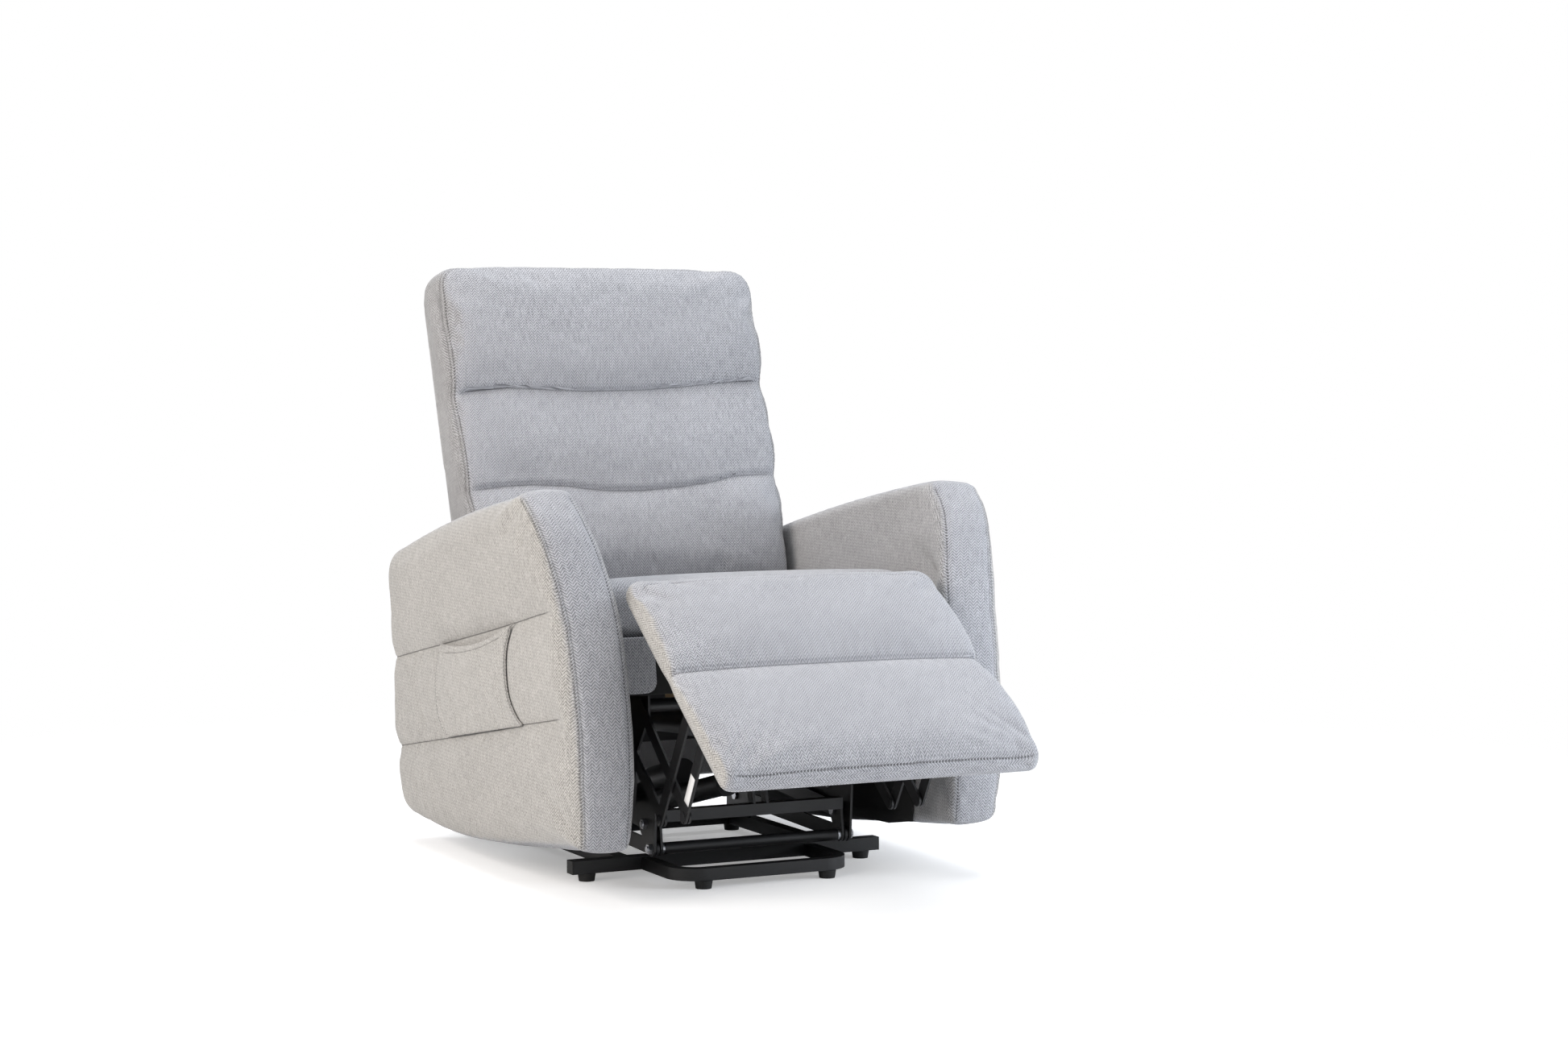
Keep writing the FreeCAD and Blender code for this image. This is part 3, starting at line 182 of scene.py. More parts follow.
# fine herringbone of light and dark melange yarns; seams and stitch rows are drawn where the piece marks
# them, seams as painted shadow in their grooves and stitch rows as dark thread
def wovenCloth(name):
    make = Finish(name)
    place = make.node("ShaderNodeUVMap", {"uv_map": "weave"}, {})
    across, along, _ = make.split(place)
    column = across / weave["thread"]
    line = along / weave["thread"]
    column = column - column.part()
    line = line - line.part()
    pair = line / 2 - (line / 2).part()
    over = ((column + line) / 2).part() * 2
    fold = abs((across / weave["zigzag"]).part() - 0.5) * 2
    twill = ((along + fold * weave["rise"]) * (2 * math.pi / weave["repeat"])).wave()
    cell = make.node("ShaderNodeCombineXYZ", {}, {"X": column, "Y": pair})
    yarn = make.node("ShaderNodeTexWhiteNoise", {"noise_dimensions": "2D"}, {"Vector": cell}, "Value")
    slubs = make.noise(make.stretched(place, (560, 42, 1)), 1.0, 2.0)
    clouds = make.noise(place, 9, 3.0)
    # the panel attribute holds painted warm light first and painted shade second
    warmLit, shade, _ = make.split(make.attribute("panel"))
    tone = (over - 0.5) * weave["check"] + twill * weave["twill"]
    tone = tone + (yarn - 0.5) * (warmLit * weave["warmLitYarn"] + weave["yarn"])
    tone = tone + (slubs - 0.5) * weave["slubs"] + (clouds - 0.5) * weave["clouds"]
    # painted shade: the tone drops where the piece marks shade
    tone = tone + 0.5 - shade * weave["paintedShade"]
    cool = make.mixed(tone.kept(), (*weave["dark"], 1), (*weave["light"], 1))
    warmLitTones = make.mixed(tone.kept(), (*weave["warmLitDark"], 1), (*weave["warmLitLight"], 1))
    # faces with painted warm light take the warm-lit tones instead of the front ones
    colour = make.mixed(warmLit, cool, warmLitTones)
    # seam lines are darkened as painted shadow in their grooves; stitch dashes take the thread's own dark
    # colour
    seamGap, _, seamHere = make.split(make.attribute("seam"))
    seam = (1.25 - abs(seamGap) / weave["line"]).kept() * seamHere
    rowGap, rowRun, rowHere = make.split(make.attribute("row"))
    dash = (abs((rowRun / weave["pitch"]).part() - 0.5) * 8 - 0.9).kept()
    row = (1.4 - abs(rowGap) / weave["line"]).kept() * dash * rowHere
    colour = make.mixed((seam * 0.75 + row * 0.72).kept(), colour, (*weave["seam"], 1))
    height = over * 0.4 + twill * 0.3 + yarn * 0.3 - seam * 2.4 - row * 0.8
    return make.surface(Base_Color=colour, Roughness=0.92, Normal=make.raised(height, 0.5, weave["depth"]),
                        Sheen_Weight=0.22, Sheen_Roughness=0.5, Specular_IOR_Level=0.2)


cover = wovenCloth("woven_cover")


def plainFinish(name, colour, rough, metal=0.0, grain=0.0, grainScale=900, coat=0.0):
    make = Finish(name)
    spots = make.noise(make.object(), grainScale, 2.0)
    wear = make.noise(make.object(), 14, 3.0)
    relief = make.raised(spots, grain, 0.0004)
    roughness = (wear - 0.5) * 0.14 + rough
    return make.surface(Base_Color=(*colour, 1), Roughness=roughness, Metallic=metal,
                        Normal=relief, Coat_Weight=coat, Coat_Roughness=0.25)


def plywood(name):
    make = Finish(name)
    grain = make.noise(make.stretched(make.object(), (90, 6, 90)), 1.0, 4.0)
    tone = make.mixed(grain.kept(), (0.44, 0.29, 0.15, 1), (0.68, 0.51, 0.32, 1))
    return make.surface(Base_Color=tone, Roughness=0.7, Normal=make.raised(grain, 0.2, 0.0005))


def webbing(name):
    make = Finish(name)
    place = make.object()
    across = make.node("ShaderNodeSeparateXYZ", {}, {"Vector": place}, "X")
    ribs = (across * (2 * math.pi / 0.003)).wave() * 0.5 + 0.5
    tone = make.mixed(ribs, (0.02, 0.02, 0.022, 1), (0.07, 0.07, 0.075, 1))
    return make.surface(Base_Color=tone, Roughness=0.85, Normal=make.raised(ribs, 0.4, 0.0004))


finishes = {
    "black_steel": plainFinish("black_steel", (0.007, 0.007, 0.008), 0.46, grain=0.12, coat=0.10),
    "zinc": plainFinish("zinc", (0.56, 0.57, 0.60), 0.32, metal=1.0, grain=0.05),
    "foot_plastic": plainFinish("foot_plastic", (0.009, 0.009, 0.009), 0.62, grain=0.2),
    "actuator_case": plainFinish("actuator_case", (0.022, 0.022, 0.024), 0.5, grain=0.3, grainScale=1500),
    "rod_steel": plainFinish("rod_steel", (0.62, 0.62, 0.64), 0.14, metal=1.0),
    "lining": plainFinish("lining", (0.012, 0.012, 0.012), 0.95, grain=0.5, grainScale=1200),
    "timber": plywood("timber"),
    "webbing": webbing("webbing"),
    "upholstery": cover,
}
labelFilm = plainFinish("label_film", (0.78, 0.78, 0.78), 0.45)

for part in frame["record"]["subparts"]:
    mesh = nodes[part["node"]].data
    mesh.materials.clear()
    mesh.materials.append(finishes[part["material_slot"]])
# the timber seen under the cushion gets the black lining finish
nodes["seat_front_rail"].data.materials[0] = finishes["lining"]
nodes["legrest_board"].data.materials[0] = finishes["lining"]
print("finishes ready")


# mesh helpers

def readPoints(mesh, key="co"):
    flat = np.empty(len(mesh.vertices) * 3)
    mesh.vertices.foreach_get(key, flat)
    return flat.reshape(-1, 3)


def writePoints(mesh, points):
    mesh.vertices.foreach_set("co", points.reshape(-1))
    mesh.update()


# three values on each point, for the cover's material
def markVectors(mesh, name, rows):
    layer = mesh.attributes.new(name, "FLOAT_VECTOR", "POINT")
    layer.data.foreach_set("vector", np.array(rows, float).reshape(-1))


def newPiece(name, shape, *materials):
    mesh = bpy.data.meshes.new(name)
    shape.to_mesh(mesh)
    shape.free()
    piece = bpy.data.objects.new(name, mesh)
    scene.collection.objects.link(piece)
    for material in materials:
        mesh.materials.append(material)
    return piece


def withModifier(piece, kind, **settings):
    modifier = piece.modifiers.new(kind, kind)
    for key, value in settings.items():
        setattr(modifier, key, value)
    graph = bpy.context.evaluated_depsgraph_get()
    made = bpy.data.meshes.new_from_object(piece.evaluated_get(graph))
    old = piece.data
    piece.modifiers.clear()
    piece.data = made
    bpy.data.meshes.remove(old)


def outwards(piece):
    shape = bmesh.new()
    shape.from_mesh(piece.data)
    bmesh.ops.recalc_face_normals(shape, faces=shape.faces)
    shape.to_mesh(piece.data)
    shape.free()
    piece.data.polygons.foreach_set("use_smooth", [True] * len(piece.data.polygons))
    piece.data.update()


# a smooth closed outline through corners that each have a point on the way to the next
def curveThrough(corners, count=9):
    ring = []
    for (start, via), (end, _) in zip(corners, corners[1:] + corners[:1]):
        pull = 2 * via - (start + end) / 2
        for i in range(count):
            t = i / count
            ring.append(start * (1 - t) ** 2 + pull * (2 * t * (1 - t)) + end * t * t)
    return ring


def roundedRing(corners, radii, count=8):
    ring = []
    for i, corner in enumerate(corners):
        before = corner + (corners[i - 1] - corner).normalized() * radii[i]
        after = corner + (corners[(i + 1) % len(corners)] - corner).normalized() * radii[i]
        for k in range(count + 1):
            t = k / count
            ring.append(before * (1 - t) ** 2 + corner * (2 * t * (1 - t)) + after * t * t)
    return ring


# distance of each point from a line, and how far along the line its nearest point lies
def fromLine(points, line):
    line = np.array([list(p) for p in line], float)
    starts = line[:-1]
    ways = line[1:] - starts
    lengths = np.linalg.norm(ways, axis=1)
    travelled = np.concatenate([[0], np.cumsum(lengths)[:-1]])
    best = np.full(len(points), 1e9)
    along = np.zeros(len(points))
    for start, way, length, before in zip(starts, ways, lengths, travelled):
        t = np.clip((points - start) @ way / max(length * length, 1e-12), 0, 1)
        gap = np.linalg.norm(points - start - t[:, None] * way, axis=1)
        nearer = gap < best
        best[nearer] = gap[nearer]
        along[nearer] = before + t[nearer] * length
    return best, along


def softStep(value, low, high):
    t = np.clip((value - low) / (high - low), 0, 1)
    return t * t * (3 - 2 * t)


# an uneven wave, so that puckers along a seam don't repeat
def uneven(run, pitch):
    turn = run * 2 * math.pi / pitch
    return (np.sin(turn + 2.1 * np.sin(turn * 0.29 + 1.0)) + 0.6 * np.sin(turn * 1.71 + 0.8)) / 1.6


def bump(value, width):
    return np.exp(-((value / width) ** 2))


# a pad is raised from its outline, its rims rounded, then given an even net of faces
def raisePad(name, outline, depth, frontRim, rearRim, voxel):
    shape = bmesh.new()
    ring = [shape.verts.new((p.x, p.y, 0)) for p in outline]
    floor = shape.faces.new(ring)
    made = bmesh.ops.extrude_face_region(shape, geom=[floor], use_keep_orig=True)
    moved = [v for v in made["geom"] if isinstance(v, bmesh.types.BMVert)]
    bmesh.ops.translate(shape, verts=moved, vec=(0, 0, depth))
    bmesh.ops.recalc_face_normals(shape, faces=shape.faces)
    for height, width in ((depth, frontRim), (0, rearRim)):
        rim = [e for e in shape.edges if all(abs(v.co.z - height) < 1e-6 for v in e.verts)]
        bmesh.ops.bevel(shape, geom=rim, offset=width, segments=5, profile=0.5,
                        affect="EDGES", material=-1)
    bmesh.ops.triangulate(shape, faces=[f for f in shape.faces if len(f.verts) > 4])
    piece = newPiece(name, shape)
    withModifier(piece, "REMESH", mode="VOXEL", voxel_size=voxel)
    return piece


def relaxed(piece, rounds):
    shape = bmesh.new()
    shape.from_mesh(piece.data)
    for i in range(rounds):
        bmesh.ops.smooth_vert(shape, verts=shape.verts, factor=0.5,
                              use_axis_x=True, use_axis_y=True, use_axis_z=True)
    shape.to_mesh(piece.data)
    shape.free()
    piece.data.update()


clothFrames = 20
clothSettings = {
    "quality": 4, "mass": 0.3, "tension_stiffness": 30, "compression_stiffness": 20, "shear_stiffness": 12,
    "bending_stiffness": 1.2, "use_pressure": True, "uniform_pressure_force": 4.0,
}


# the cover is blown up from inside while its seams and its frame side are held; cap is the most it may move
def inflate(piece, held, cap, spare):
    before = readPoints(piece.data)
    group = piece.vertex_groups.new(name="held")
    for level in range(1, 11):
        chosen = np.nonzero(np.round(held * 10) == level)[0]
        group.add(chosen.tolist(), level / 10, "REPLACE")
    cloth = piece.modifiers.new("Cloth", "CLOTH")
    for key, value in clothSettings.items():
        setattr(cloth.settings, key, value)
    cloth.settings.shrink_min = -spare
    cloth.settings.vertex_group_mass = "held"
    cloth.settings.effector_weights.gravity = 0
    cloth.point_cache.frame_start = 1
    cloth.point_cache.frame_end = clothFrames
    for moment in range(1, clothFrames + 1):
        scene.frame_set(moment)
    graph = bpy.context.evaluated_depsgraph_get()
    blown = piece.evaluated_get(graph).to_mesh()
    after = readPoints(blown)
    piece.modifiers.clear()
    piece.vertex_groups.clear()
    scene.frame_set(1)
    moved = after - before
    reach = np.linalg.norm(moved, axis=1, keepdims=True) + 1e-9
    before = before + moved / reach * cap * np.tanh(reach / cap)
    writePoints(piece.data, before)
    relaxed(piece, 2)
    withModifier(piece, "SUBSURF", levels=1, render_levels=1)


# keeps the sewn lines on the piece: the nearest of several, each as (gap, run, here)
def markLines(piece, name, lines):
    gap, run, here = [np.stack(values) for values in zip(*lines)]
    here = here * (1 - softStep(np.abs(gap), 0.007, 0.012))
    pick = np.argmin(np.abs(gap) + (1 - here) * 0.05, axis=0)
    chosen = [np.take_along_axis(values, pick[None], axis=0)[0] for values in (gap, run, here)]
    markVectors(piece.data, name, np.stack(chosen, axis=1))


# which way from a side-view line each point lies, and how far
def signedGap(points, line):
    gap, run = fromLine(points, line)
    line = np.array([list(p) for p in line], float)
    ahead = np.interp(points[:, 0], *line[np.argsort(line[:, 0])].T) - points[:, 1]
    return gap * np.sign(ahead), run


# weave runs flat over the broad sides and round the walls; the warm value is painted warm light, how far a
# face takes the paler, warmer tones of cloth turned to the side lamp, and shade is painted shade that darkens
# less lit faces
def markWeave(piece, outline, warmLit, lined=None, shade=0):
    mesh = piece.data
    points = readPoints(mesh)
    closed = list(outline) + [outline[0]]
    along = fromLine(points[:, :2], closed)[1]
    corner = np.empty(len(mesh.loops), int)
    mesh.loops.foreach_get("vertex_index", corner)
    faceNormal = np.empty(len(mesh.polygons) * 3)
    mesh.polygons.foreach_get("normal", faceNormal)
    wall = np.abs(faceNormal.reshape(-1, 3)[:, 2]) < 0.62
    size = np.empty(len(mesh.polygons), int)
    mesh.polygons.foreach_get("loop_total", size)
    wallCorner = np.repeat(wall, size)[:, None]
    flat = points[corner][:, :2]
    round_ = np.stack([points[corner][:, 2], along[corner]], axis=1)
    layer = mesh.uv_layers.new(name="weave")
    layer.data.foreach_set("uv", np.where(wallCorner, round_, flat).reshape(-1))
    shades = [np.broadcast_to(value, len(points)) for value in (warmLit, shade, 0)]
    markVectors(mesh, "panel", np.stack(shades, axis=1))
    mesh.materials.clear()
    mesh.materials.append(cover)
    if lined is not None:
        mesh.materials.append(finishes["lining"])
        first = np.concatenate([[0], np.cumsum(size)[:-1]])
        mesh.polygons.foreach_set("material_index", lined[corner[first]].astype(int))


def placed(piece, place, body):
    writePoints(piece.data, place(readPoints(piece.data)))
    outwards(piece)
    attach(piece, body)


# arms: one is made and mirrored; u, v are the side view, w runs outwards across the arm
arm = {
    "innerLow": 0.287, "innerLean": 0.031, "widthLow": 0.087, "widthTop": 0.096,
    "low": 0.095, "high": 0.643, "depth": 0.092, "outerRim": 0.026, "innerRim": 0.012,
    "outerSeam": 0.017, "innerSeam": 0.010, "liningTop": 0.320, "liningFront": 0.150, "liningRear": 0.772,
    "voxel": 0.007, "puff": 0.007, "spare": 0.004, "edgeHold": 0.007, "seamHold": 0.006,
    "seamSink": 0.0050, "sinkWidth": 0.018, "seamCrease": 0.0030, "seamWidth": 0.0036,
    "edgeCrease": 0.0013, "edgeWidth": 0.0030, "rowGap": 0.0042, "foldDepth": 0.0007,
    "levels": (0.095, 0.20, 0.28, 0.34, 0.44, 0.51, 0.56, 0.60, 0.64),
    "wideInside": (0.004, 0.013, 0.018, 0.021, 0.023, 0.018, 0.011, 0.003, -0.002),
    "wideOutside": (0.007, 0.009, 0.002, 0.000, -0.003, 0.001, 0.006, 0.011, 0.013),
    "setBack": (-0.003, -0.003, 0.003, 0.010, 0.012, 0.010, 0.004, -0.003, -0.004),
}
armCorners = [
    ((7, 93), (-5, 215)), ((3, 365), (56, 532)), ((140, 634), (152, 644)), ((168, 644), (462, 596)),
    ((770, 526), (818, 496)), ((835, 440), (831, 280)), ((818, 116), (812, 65)), ((774, 42), (568, 32)),
    ((308, 54), (158, 73)), ((26, 88), (14, 87)),
]
armSeams = [
    [(836, 318), (790, 326), (660, 350), (526, 374), (331, 410), (224, 431), (130, 449), (38, 465)],
    [(832, 161), (790, 168), (660, 190), (536, 211), (390, 236), (309, 250), (209, 269), (53, 294),
     (20, 299)],
]


def armInner(y, z):
    share = (z - arm["low"]) / (arm["high"] - arm["low"])
    swell = np.interp(z, arm["levels"], arm["wideInside"])
    reach = np.interp(z, (0.50, 0.56), (0.052, 0.190))
    front = (0.096 + reach - 0.052 - armFrontToCentre / 1000 - y) / reach
    return arm["innerLow"] + arm["innerLean"] * share - swell * softStep(front, 0, 1)


def armPlace(points):
    y, z = points[:, 0], points[:, 1]
    share = (z - arm["low"]) / (arm["high"] - arm["low"])
    outer = arm["innerLow"] + arm["widthLow"] + (arm["innerLean"] + arm["widthTop"] - arm["widthLow"]) * share
    outer = outer + np.interp(z, arm["levels"], arm["wideOutside"])
    inner = armInner(y, z)
    back = np.interp(z, arm["levels"], arm["setBack"])
    y = y + back * (1 - softStep(y, -0.28, -0.05))
    return np.stack([inner + (outer - inner) * points[:, 2] / arm["depth"], y, z], axis=1)


# where on the arm a point lies: near the front edge, on the outer side, and its gap from each side seam
def readArm(points, outline):
    closed = [*outline, outline[0]]
    rimGap, rimRun = fromLine(points[:, :2], closed)
    frontEnd = fromLine(np.array([list(at(146, 642))]), closed)[1][0]
    front = softStep(frontEnd - rimRun, 0, 0.012) * softStep(rimRun, 0, 0.004) * (rimGap < 0.016)
    side = softStep(points[:, 2], arm["depth"] * 0.55, arm["depth"] * 0.95)
    seams = []
    for line in armSeams:
        line = [at(*p) for p in line]
        gap, run = signedGap(points[:, :2], line)
        length = sum((b - a).length for a, b in zip(line, line[1:]))
        seams.append((gap, run, side * softStep(length - run, 0.004, 0.060)))
    return rimRun, front, seams


def makeArms():
    outline = curveThrough([(at(*start), at(*via)) for start, via in armCorners])
    piece = raisePad("arm_cover_right", outline, arm["depth"], arm["outerRim"], arm["innerRim"],
                     arm["voxel"])
    relaxed(piece, 2)
    points = readPoints(piece.data)
    _, front, seams = readArm(points, outline)
    # fabric is held by the board inside, by the seams and along the front panel's edges
    held = softStep(0.03 - points[:, 2], 0.012, 0.024)
    outerGap = arm["depth"] - arm["outerSeam"] - points[:, 2]
    for gap, here in ((outerGap, front), (points[:, 2] - arm["innerSeam"], front)):
        held = np.maximum(held, 0.9 * here * np.exp(-((gap / arm["edgeHold"]) ** 4)))
    for gap, run, here in seams:
        held = np.maximum(held, 0.95 * here * np.exp(-((gap / arm["seamHold"]) ** 4)))
        points[:, 2] -= here * arm["seamSink"] * bump(gap, arm["sinkWidth"])
    writePoints(piece.data, points)
    inflate(piece, held, arm["puff"], arm["spare"])
    points = readPoints(piece.data)
    normals = readPoints(piece.data, "normal")
    rimRun, front, seams = readArm(points, outline)
    outerGap = arm["depth"] - arm["outerSeam"] - points[:, 2]
    innerGap = points[:, 2] - arm["innerSeam"]
    edges = bump(outerGap, arm["edgeWidth"]) + bump(innerGap, arm["edgeWidth"])
    push = -arm["edgeCrease"] * front * edges
    push += 0.0004 * front * uneven(rimRun, 0.017) * bump(outerGap, 0.008)
    for gap, run, here in seams:
        push -= here * arm["seamCrease"] * bump(gap, arm["seamWidth"])
        push += here * 0.0009 * uneven(run, 0.052) * bump(gap - 0.010, 0.014)
    # a few soft vertical folds low at the rear, where the side panel is pulled round
    folds = np.sin(points[:, 0] * 130 + 2 * np.sin(points[:, 1] * 9))
    push += arm["foldDepth"] * folds * bump(points[:, 1] - 0.11, 0.05) * bump(points[:, 0] - 0.36, 0.12)
    writePoints(piece.data, points + normals * push[:, None])
    rows = [(outerGap + arm["rowGap"], rimRun, front * 0.8), (innerGap, rimRun, front)]
    side = softStep(normals[:, 2], 0.5, 0.9)
    markLines(piece, "seam", [(outerGap, rimRun, front * 0.45)] + seams)
    markLines(piece, "row", rows)
    behind = points[:, 0] + armFrontToCentre / 1000
    inside = (points[:, 2] < 0.012) & (behind > arm["liningFront"]) & (behind < arm["liningRear"])
    lined = inside & (points[:, 1] < arm["liningTop"])
    # painted shade: the lower part of the outer side and the whole inner side are darkened, as less light
    # reaches them
    low = 0.4 * softStep(0.40 - points[:, 1], 0, 0.25) * side
    shade = low + 0.5 * softStep(-normals[:, 2], 0.5, 0.9)
    # painted warm light: the outer side fully, the inner side about half
    warmLit = softStep(normals[:, 2], 0.30, 0.85) + 0.45 * softStep(-normals[:, 2], 0.30, 0.85)
    markWeave(piece, outline, warmLit, lined, shade)
    writePoints(piece.data, armPlace(points + normals * push[:, None]))
    outwards(piece)
    other = piece.copy()
    other.data = piece.data.copy()
    other.name = "arm_cover_left"
    scene.collection.objects.link(other)
    mirroredPoints = readPoints(other.data)
    mirroredPoints[:, 0] *= -1
    writePoints(other.data, mirroredPoints)
    outwards(other)
    for made, node in ((piece, "arm_right"), (other, "arm_left")):
        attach(made, "chair_frame")
        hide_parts(node)
    return other


leftArm = makeArms()
print("arms made")


# backrest: u across, v up its lean, w forward from its frame; the sewn channels wander a little
back = {
    "foot": at(600, 440), "lean": math.radians(17.7), "height": 0.617, "halfLow": 0.298, "halfTop": 0.313,
    "depth": 0.100, "corner": 0.057, "channels": (0.204, 0.385), "crown": 0.016,
    "edges": (0.010, 0.017, 0.028, 0.022), "swell": (0.016, 0.012, 0.018), "seam": 0.007, "row": 0.012,
    "voxel": 0.006, "puff": 0.009, "spare": 0.004, "channelHold": 0.006, "drawnIn": 0.014,
    "lowCrease": 0.0034, "highCrease": 0.0040, "foldCrease": 0.0035, "creaseWidth": 0.0040,
    "pulls": 0.0013, "pullPitch": 0.034, "seamCrease": 0.0016, "seamWidth": 0.0032,
    "lowLine": ((-300, -235, -184, -119, -84, -40, 25, 104, 170, 204, 260, 310),
                (194, 199, 200, 196, 190, 185, 184, 190, 199, 208, 212, 214)),
    "highLine": ((-310, -276, -202, -127, -50, 56, 137, 219, 270, 313),
                 (370, 376, 380, 375, 371, 373, 379, 388, 392, 395)),
}


def backPlace(points):
    c = math.cos(back["lean"])
    s = math.sin(back["lean"])
    n = back["depth"] - points[:, 2]
    y = back["foot"].x + n * c + points[:, 1] * s
    z = back["foot"].y - n * s + points[:, 1] * c
    return np.stack([points[:, 0], y, z], axis=1)


# depth of a channelled front: each panel falls steeply into the channel below it, gently to the one above
def channelDepth(v, stops, edges, swell):
    depth = np.interp(v, stops, edges)
    for low, high, rise in zip(stops, stops[1:], swell):
        t = np.clip((v - low) / (high - low), 0, 1)
        depth = depth - rise * np.sin(math.pi * t ** 0.66) ** 0.7
    return depth


def backLines(points):
    return [np.interp(points[:, 0], *np.array(back[key]) / 1000) for key in ("lowLine", "highLine")]


def readBack(points, ring):
    gap, run = fromLine(points[:, :2], [*ring, ring[0]])
    inside = np.minimum(1 - np.abs(points[:, 0]) / back["halfTop"], 1 - points[:, 1] / back["height"]) > -0.02
    inset = np.where(inside, gap, -gap)
    ahead = softStep(points[:, 2], 0.045, 0.065) * softStep(points[:, 1], 0.01, 0.03)
    return inset, run, ahead


def makeBackrest():
    high = back["height"]
    halves = ((0, 0.297), (0.33 * high, 0.309), (high, back["halfTop"]))
    corners = [Vector((-half, v)) for v, half in reversed(halves)] + [Vector((half, v)) for v, half in halves]
    ring = roundedRing(corners, (back["corner"], 0.03, 0.014, 0.014, 0.03, back["corner"]))
    piece = raisePad("backrest_cover", ring, back["depth"], 0.020, 0.006, back["voxel"])
    relaxed(piece, 3)
    points = readPoints(piece.data)
    forward = softStep(points[:, 2], 0.02, back["depth"])
    across = np.clip(np.abs(points[:, 0]) / back["halfTop"], 0, 1)
    low, mid = backLines(points)
    stops = (0, *back["channels"], high)
    v = points[:, 1]
    even = np.where(v < low, v * stops[1] / low,
                    np.where(v < mid, stops[1] + (v - low) / (mid - low) * (stops[2] - stops[1]),
                             stops[2] + (v - mid) / (high - mid) * (high - stops[2])))
    sunk = channelDepth(even, stops, back["edges"], back["swell"])
    points[:, 2] -= forward * (sunk - back["crown"] * (1 - across ** 2.4))
    # the side panels are drawn in beside each channel
    for line in (low, mid):
        points[:, 0] *= 1 - back["drawnIn"] * bump(v - line, 0.03) * softStep(points[:, 2], 0.01, 0.08)
    writePoints(piece.data, points)
    held = softStep(0.05 - points[:, 2], 0.012, 0.03)
    for line in (low, mid):
        held = np.maximum(held, forward * np.exp(-(((v - line) / back["channelHold"]) ** 4)))
    inflate(piece, held, back["puff"], back["spare"])
    points = readPoints(piece.data)
    normals = readPoints(piece.data, "normal")
    low, mid = backLines(points)
    v = points[:, 1]
    inset, run, ahead = readBack(points, ring)
    u = points[:, 0]
    ends = softStep(0.300 - np.abs(u), 0, 0.03)
    lines = []
    push = np.zeros(len(points))
    for line, deep, dark in ((low, back["lowCrease"], 0.45), (mid, back["highCrease"], 0.55)):
        gap = v - line
        # the upper line closes to a fold at both its ends; the marks along both channel lines are painted
        # shadow, darker on the upper line and darkest at those fold ends
        fold = (bump(u + 0.245, 0.040) + 0.6 * bump(u - 0.265, 0.030)) * (dark > 0.5)
        push -= ahead * ends * (deep + back["foldCrease"] * fold) * bump(gap, back["creaseWidth"])
        push += ahead * ends * 0.0016 * bump(gap - 0.011, 0.008)
        reach = np.where(gap < 0, 0.034, 0.012)
        pulls = uneven(u + gap * 0.5, back["pullPitch"]) * np.exp(-np.abs(gap) / reach)
        push += ahead * ends * back["pulls"] * (pulls * (1 - bump(gap, 0.004)))
        lines.append((gap, u, ahead * ends * np.clip(dark + 0.6 * fold, 0, 1)))
    seamGap = inset - back["seam"]
    push -= ahead * back["seamCrease"] * bump(seamGap, back["seamWidth"])
    push += 0.0004 * ahead * uneven(run, 0.016) * bump(seamGap, 0.009)
    writePoints(piece.data, points + normals * push[:, None])
    markLines(piece, "seam", [(seamGap, run, ahead * 0.45)] + lines)
    markLines(piece, "row", [(inset - back["row"], run, ahead)])
    # the side walls get painted shade and half the painted warm light
    boxing = softStep(np.abs(normals[:, 0]), 0.35, 0.85)
    markWeave(piece, ring, 0.5 * boxing, shade=boxing)
    placed(piece, backPlace, "backrest")
    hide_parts("back_cushion")


makeBackrest()
print("backrest made")


# the flat upholstered panel behind the backrest
def makeOutsideBack():
    half = back["halfLow"] + 0.003
    high = back["height"] - 0.014
    corners = [Vector((-half, -0.002)), Vector((half, -0.002)), Vector((half + 0.007, high)),
               Vector((-half - 0.007, high))]
    ring = roundedRing(corners, (0.006, 0.006, back["corner"], back["corner"]))
    piece = raisePad("outside_back_cover", ring, 0.0112, 0.004, 0.003, 0.004)
    relaxed(piece, 2)
    points = readPoints(piece.data)
    across = np.clip(1 - (np.abs(points[:, 0]) / half) ** 3, 0, 1)
    up = np.clip(1 - (np.abs(points[:, 1] / back["height"] * 2 - 1)) ** 3, 0, 1)
    points[:, 2] += softStep(points[:, 2], 0.004, 0.011) * 0.006 * across * up
    writePoints(piece.data, points)
    withModifier(piece, "SUBSURF", levels=1, render_levels=1)
    points = readPoints(piece.data)
    gap, run = fromLine(points[:, :2], [*ring, ring[0]])
    rear = (points[:, 2] > 0.009) * 1.0
    markLines(piece, "row", [(gap - 0.010, run, rear)])
    # some painted warm light on the rear cover
    markWeave(piece, ring, 0.4)
    points[:, 2] = -0.0006 - points[:, 2]
    writePoints(piece.data, points)
    placed(piece, backPlace, "backrest")
    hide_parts("outside_back")


makeOutsideBack()


# legrest: u across, v down its slope, w up out of its board
legrest = {
    "edge": at(65, 515), "slope": math.radians(36), "length": 0.466, "half": 0.272, "depth": 0.034,
    "channel": 0.222, "crown": 0.007, "swell": (0.015, 0.016), "edges": (0.007, 0.013, 0.008),
    "row": 0.026, "hem": 0.457, "voxel": 0.005, "puff": 0.006, "spare": 0.004, "channelHold": 0.005,
    "sideSwell": 0.032, "waist": 0.008, "crease": 0.0022, "creaseWidth": 0.0042, "pulls": 0.0009,
    "rowCrease": 0.0018, "rowWidth": 0.0035,
}


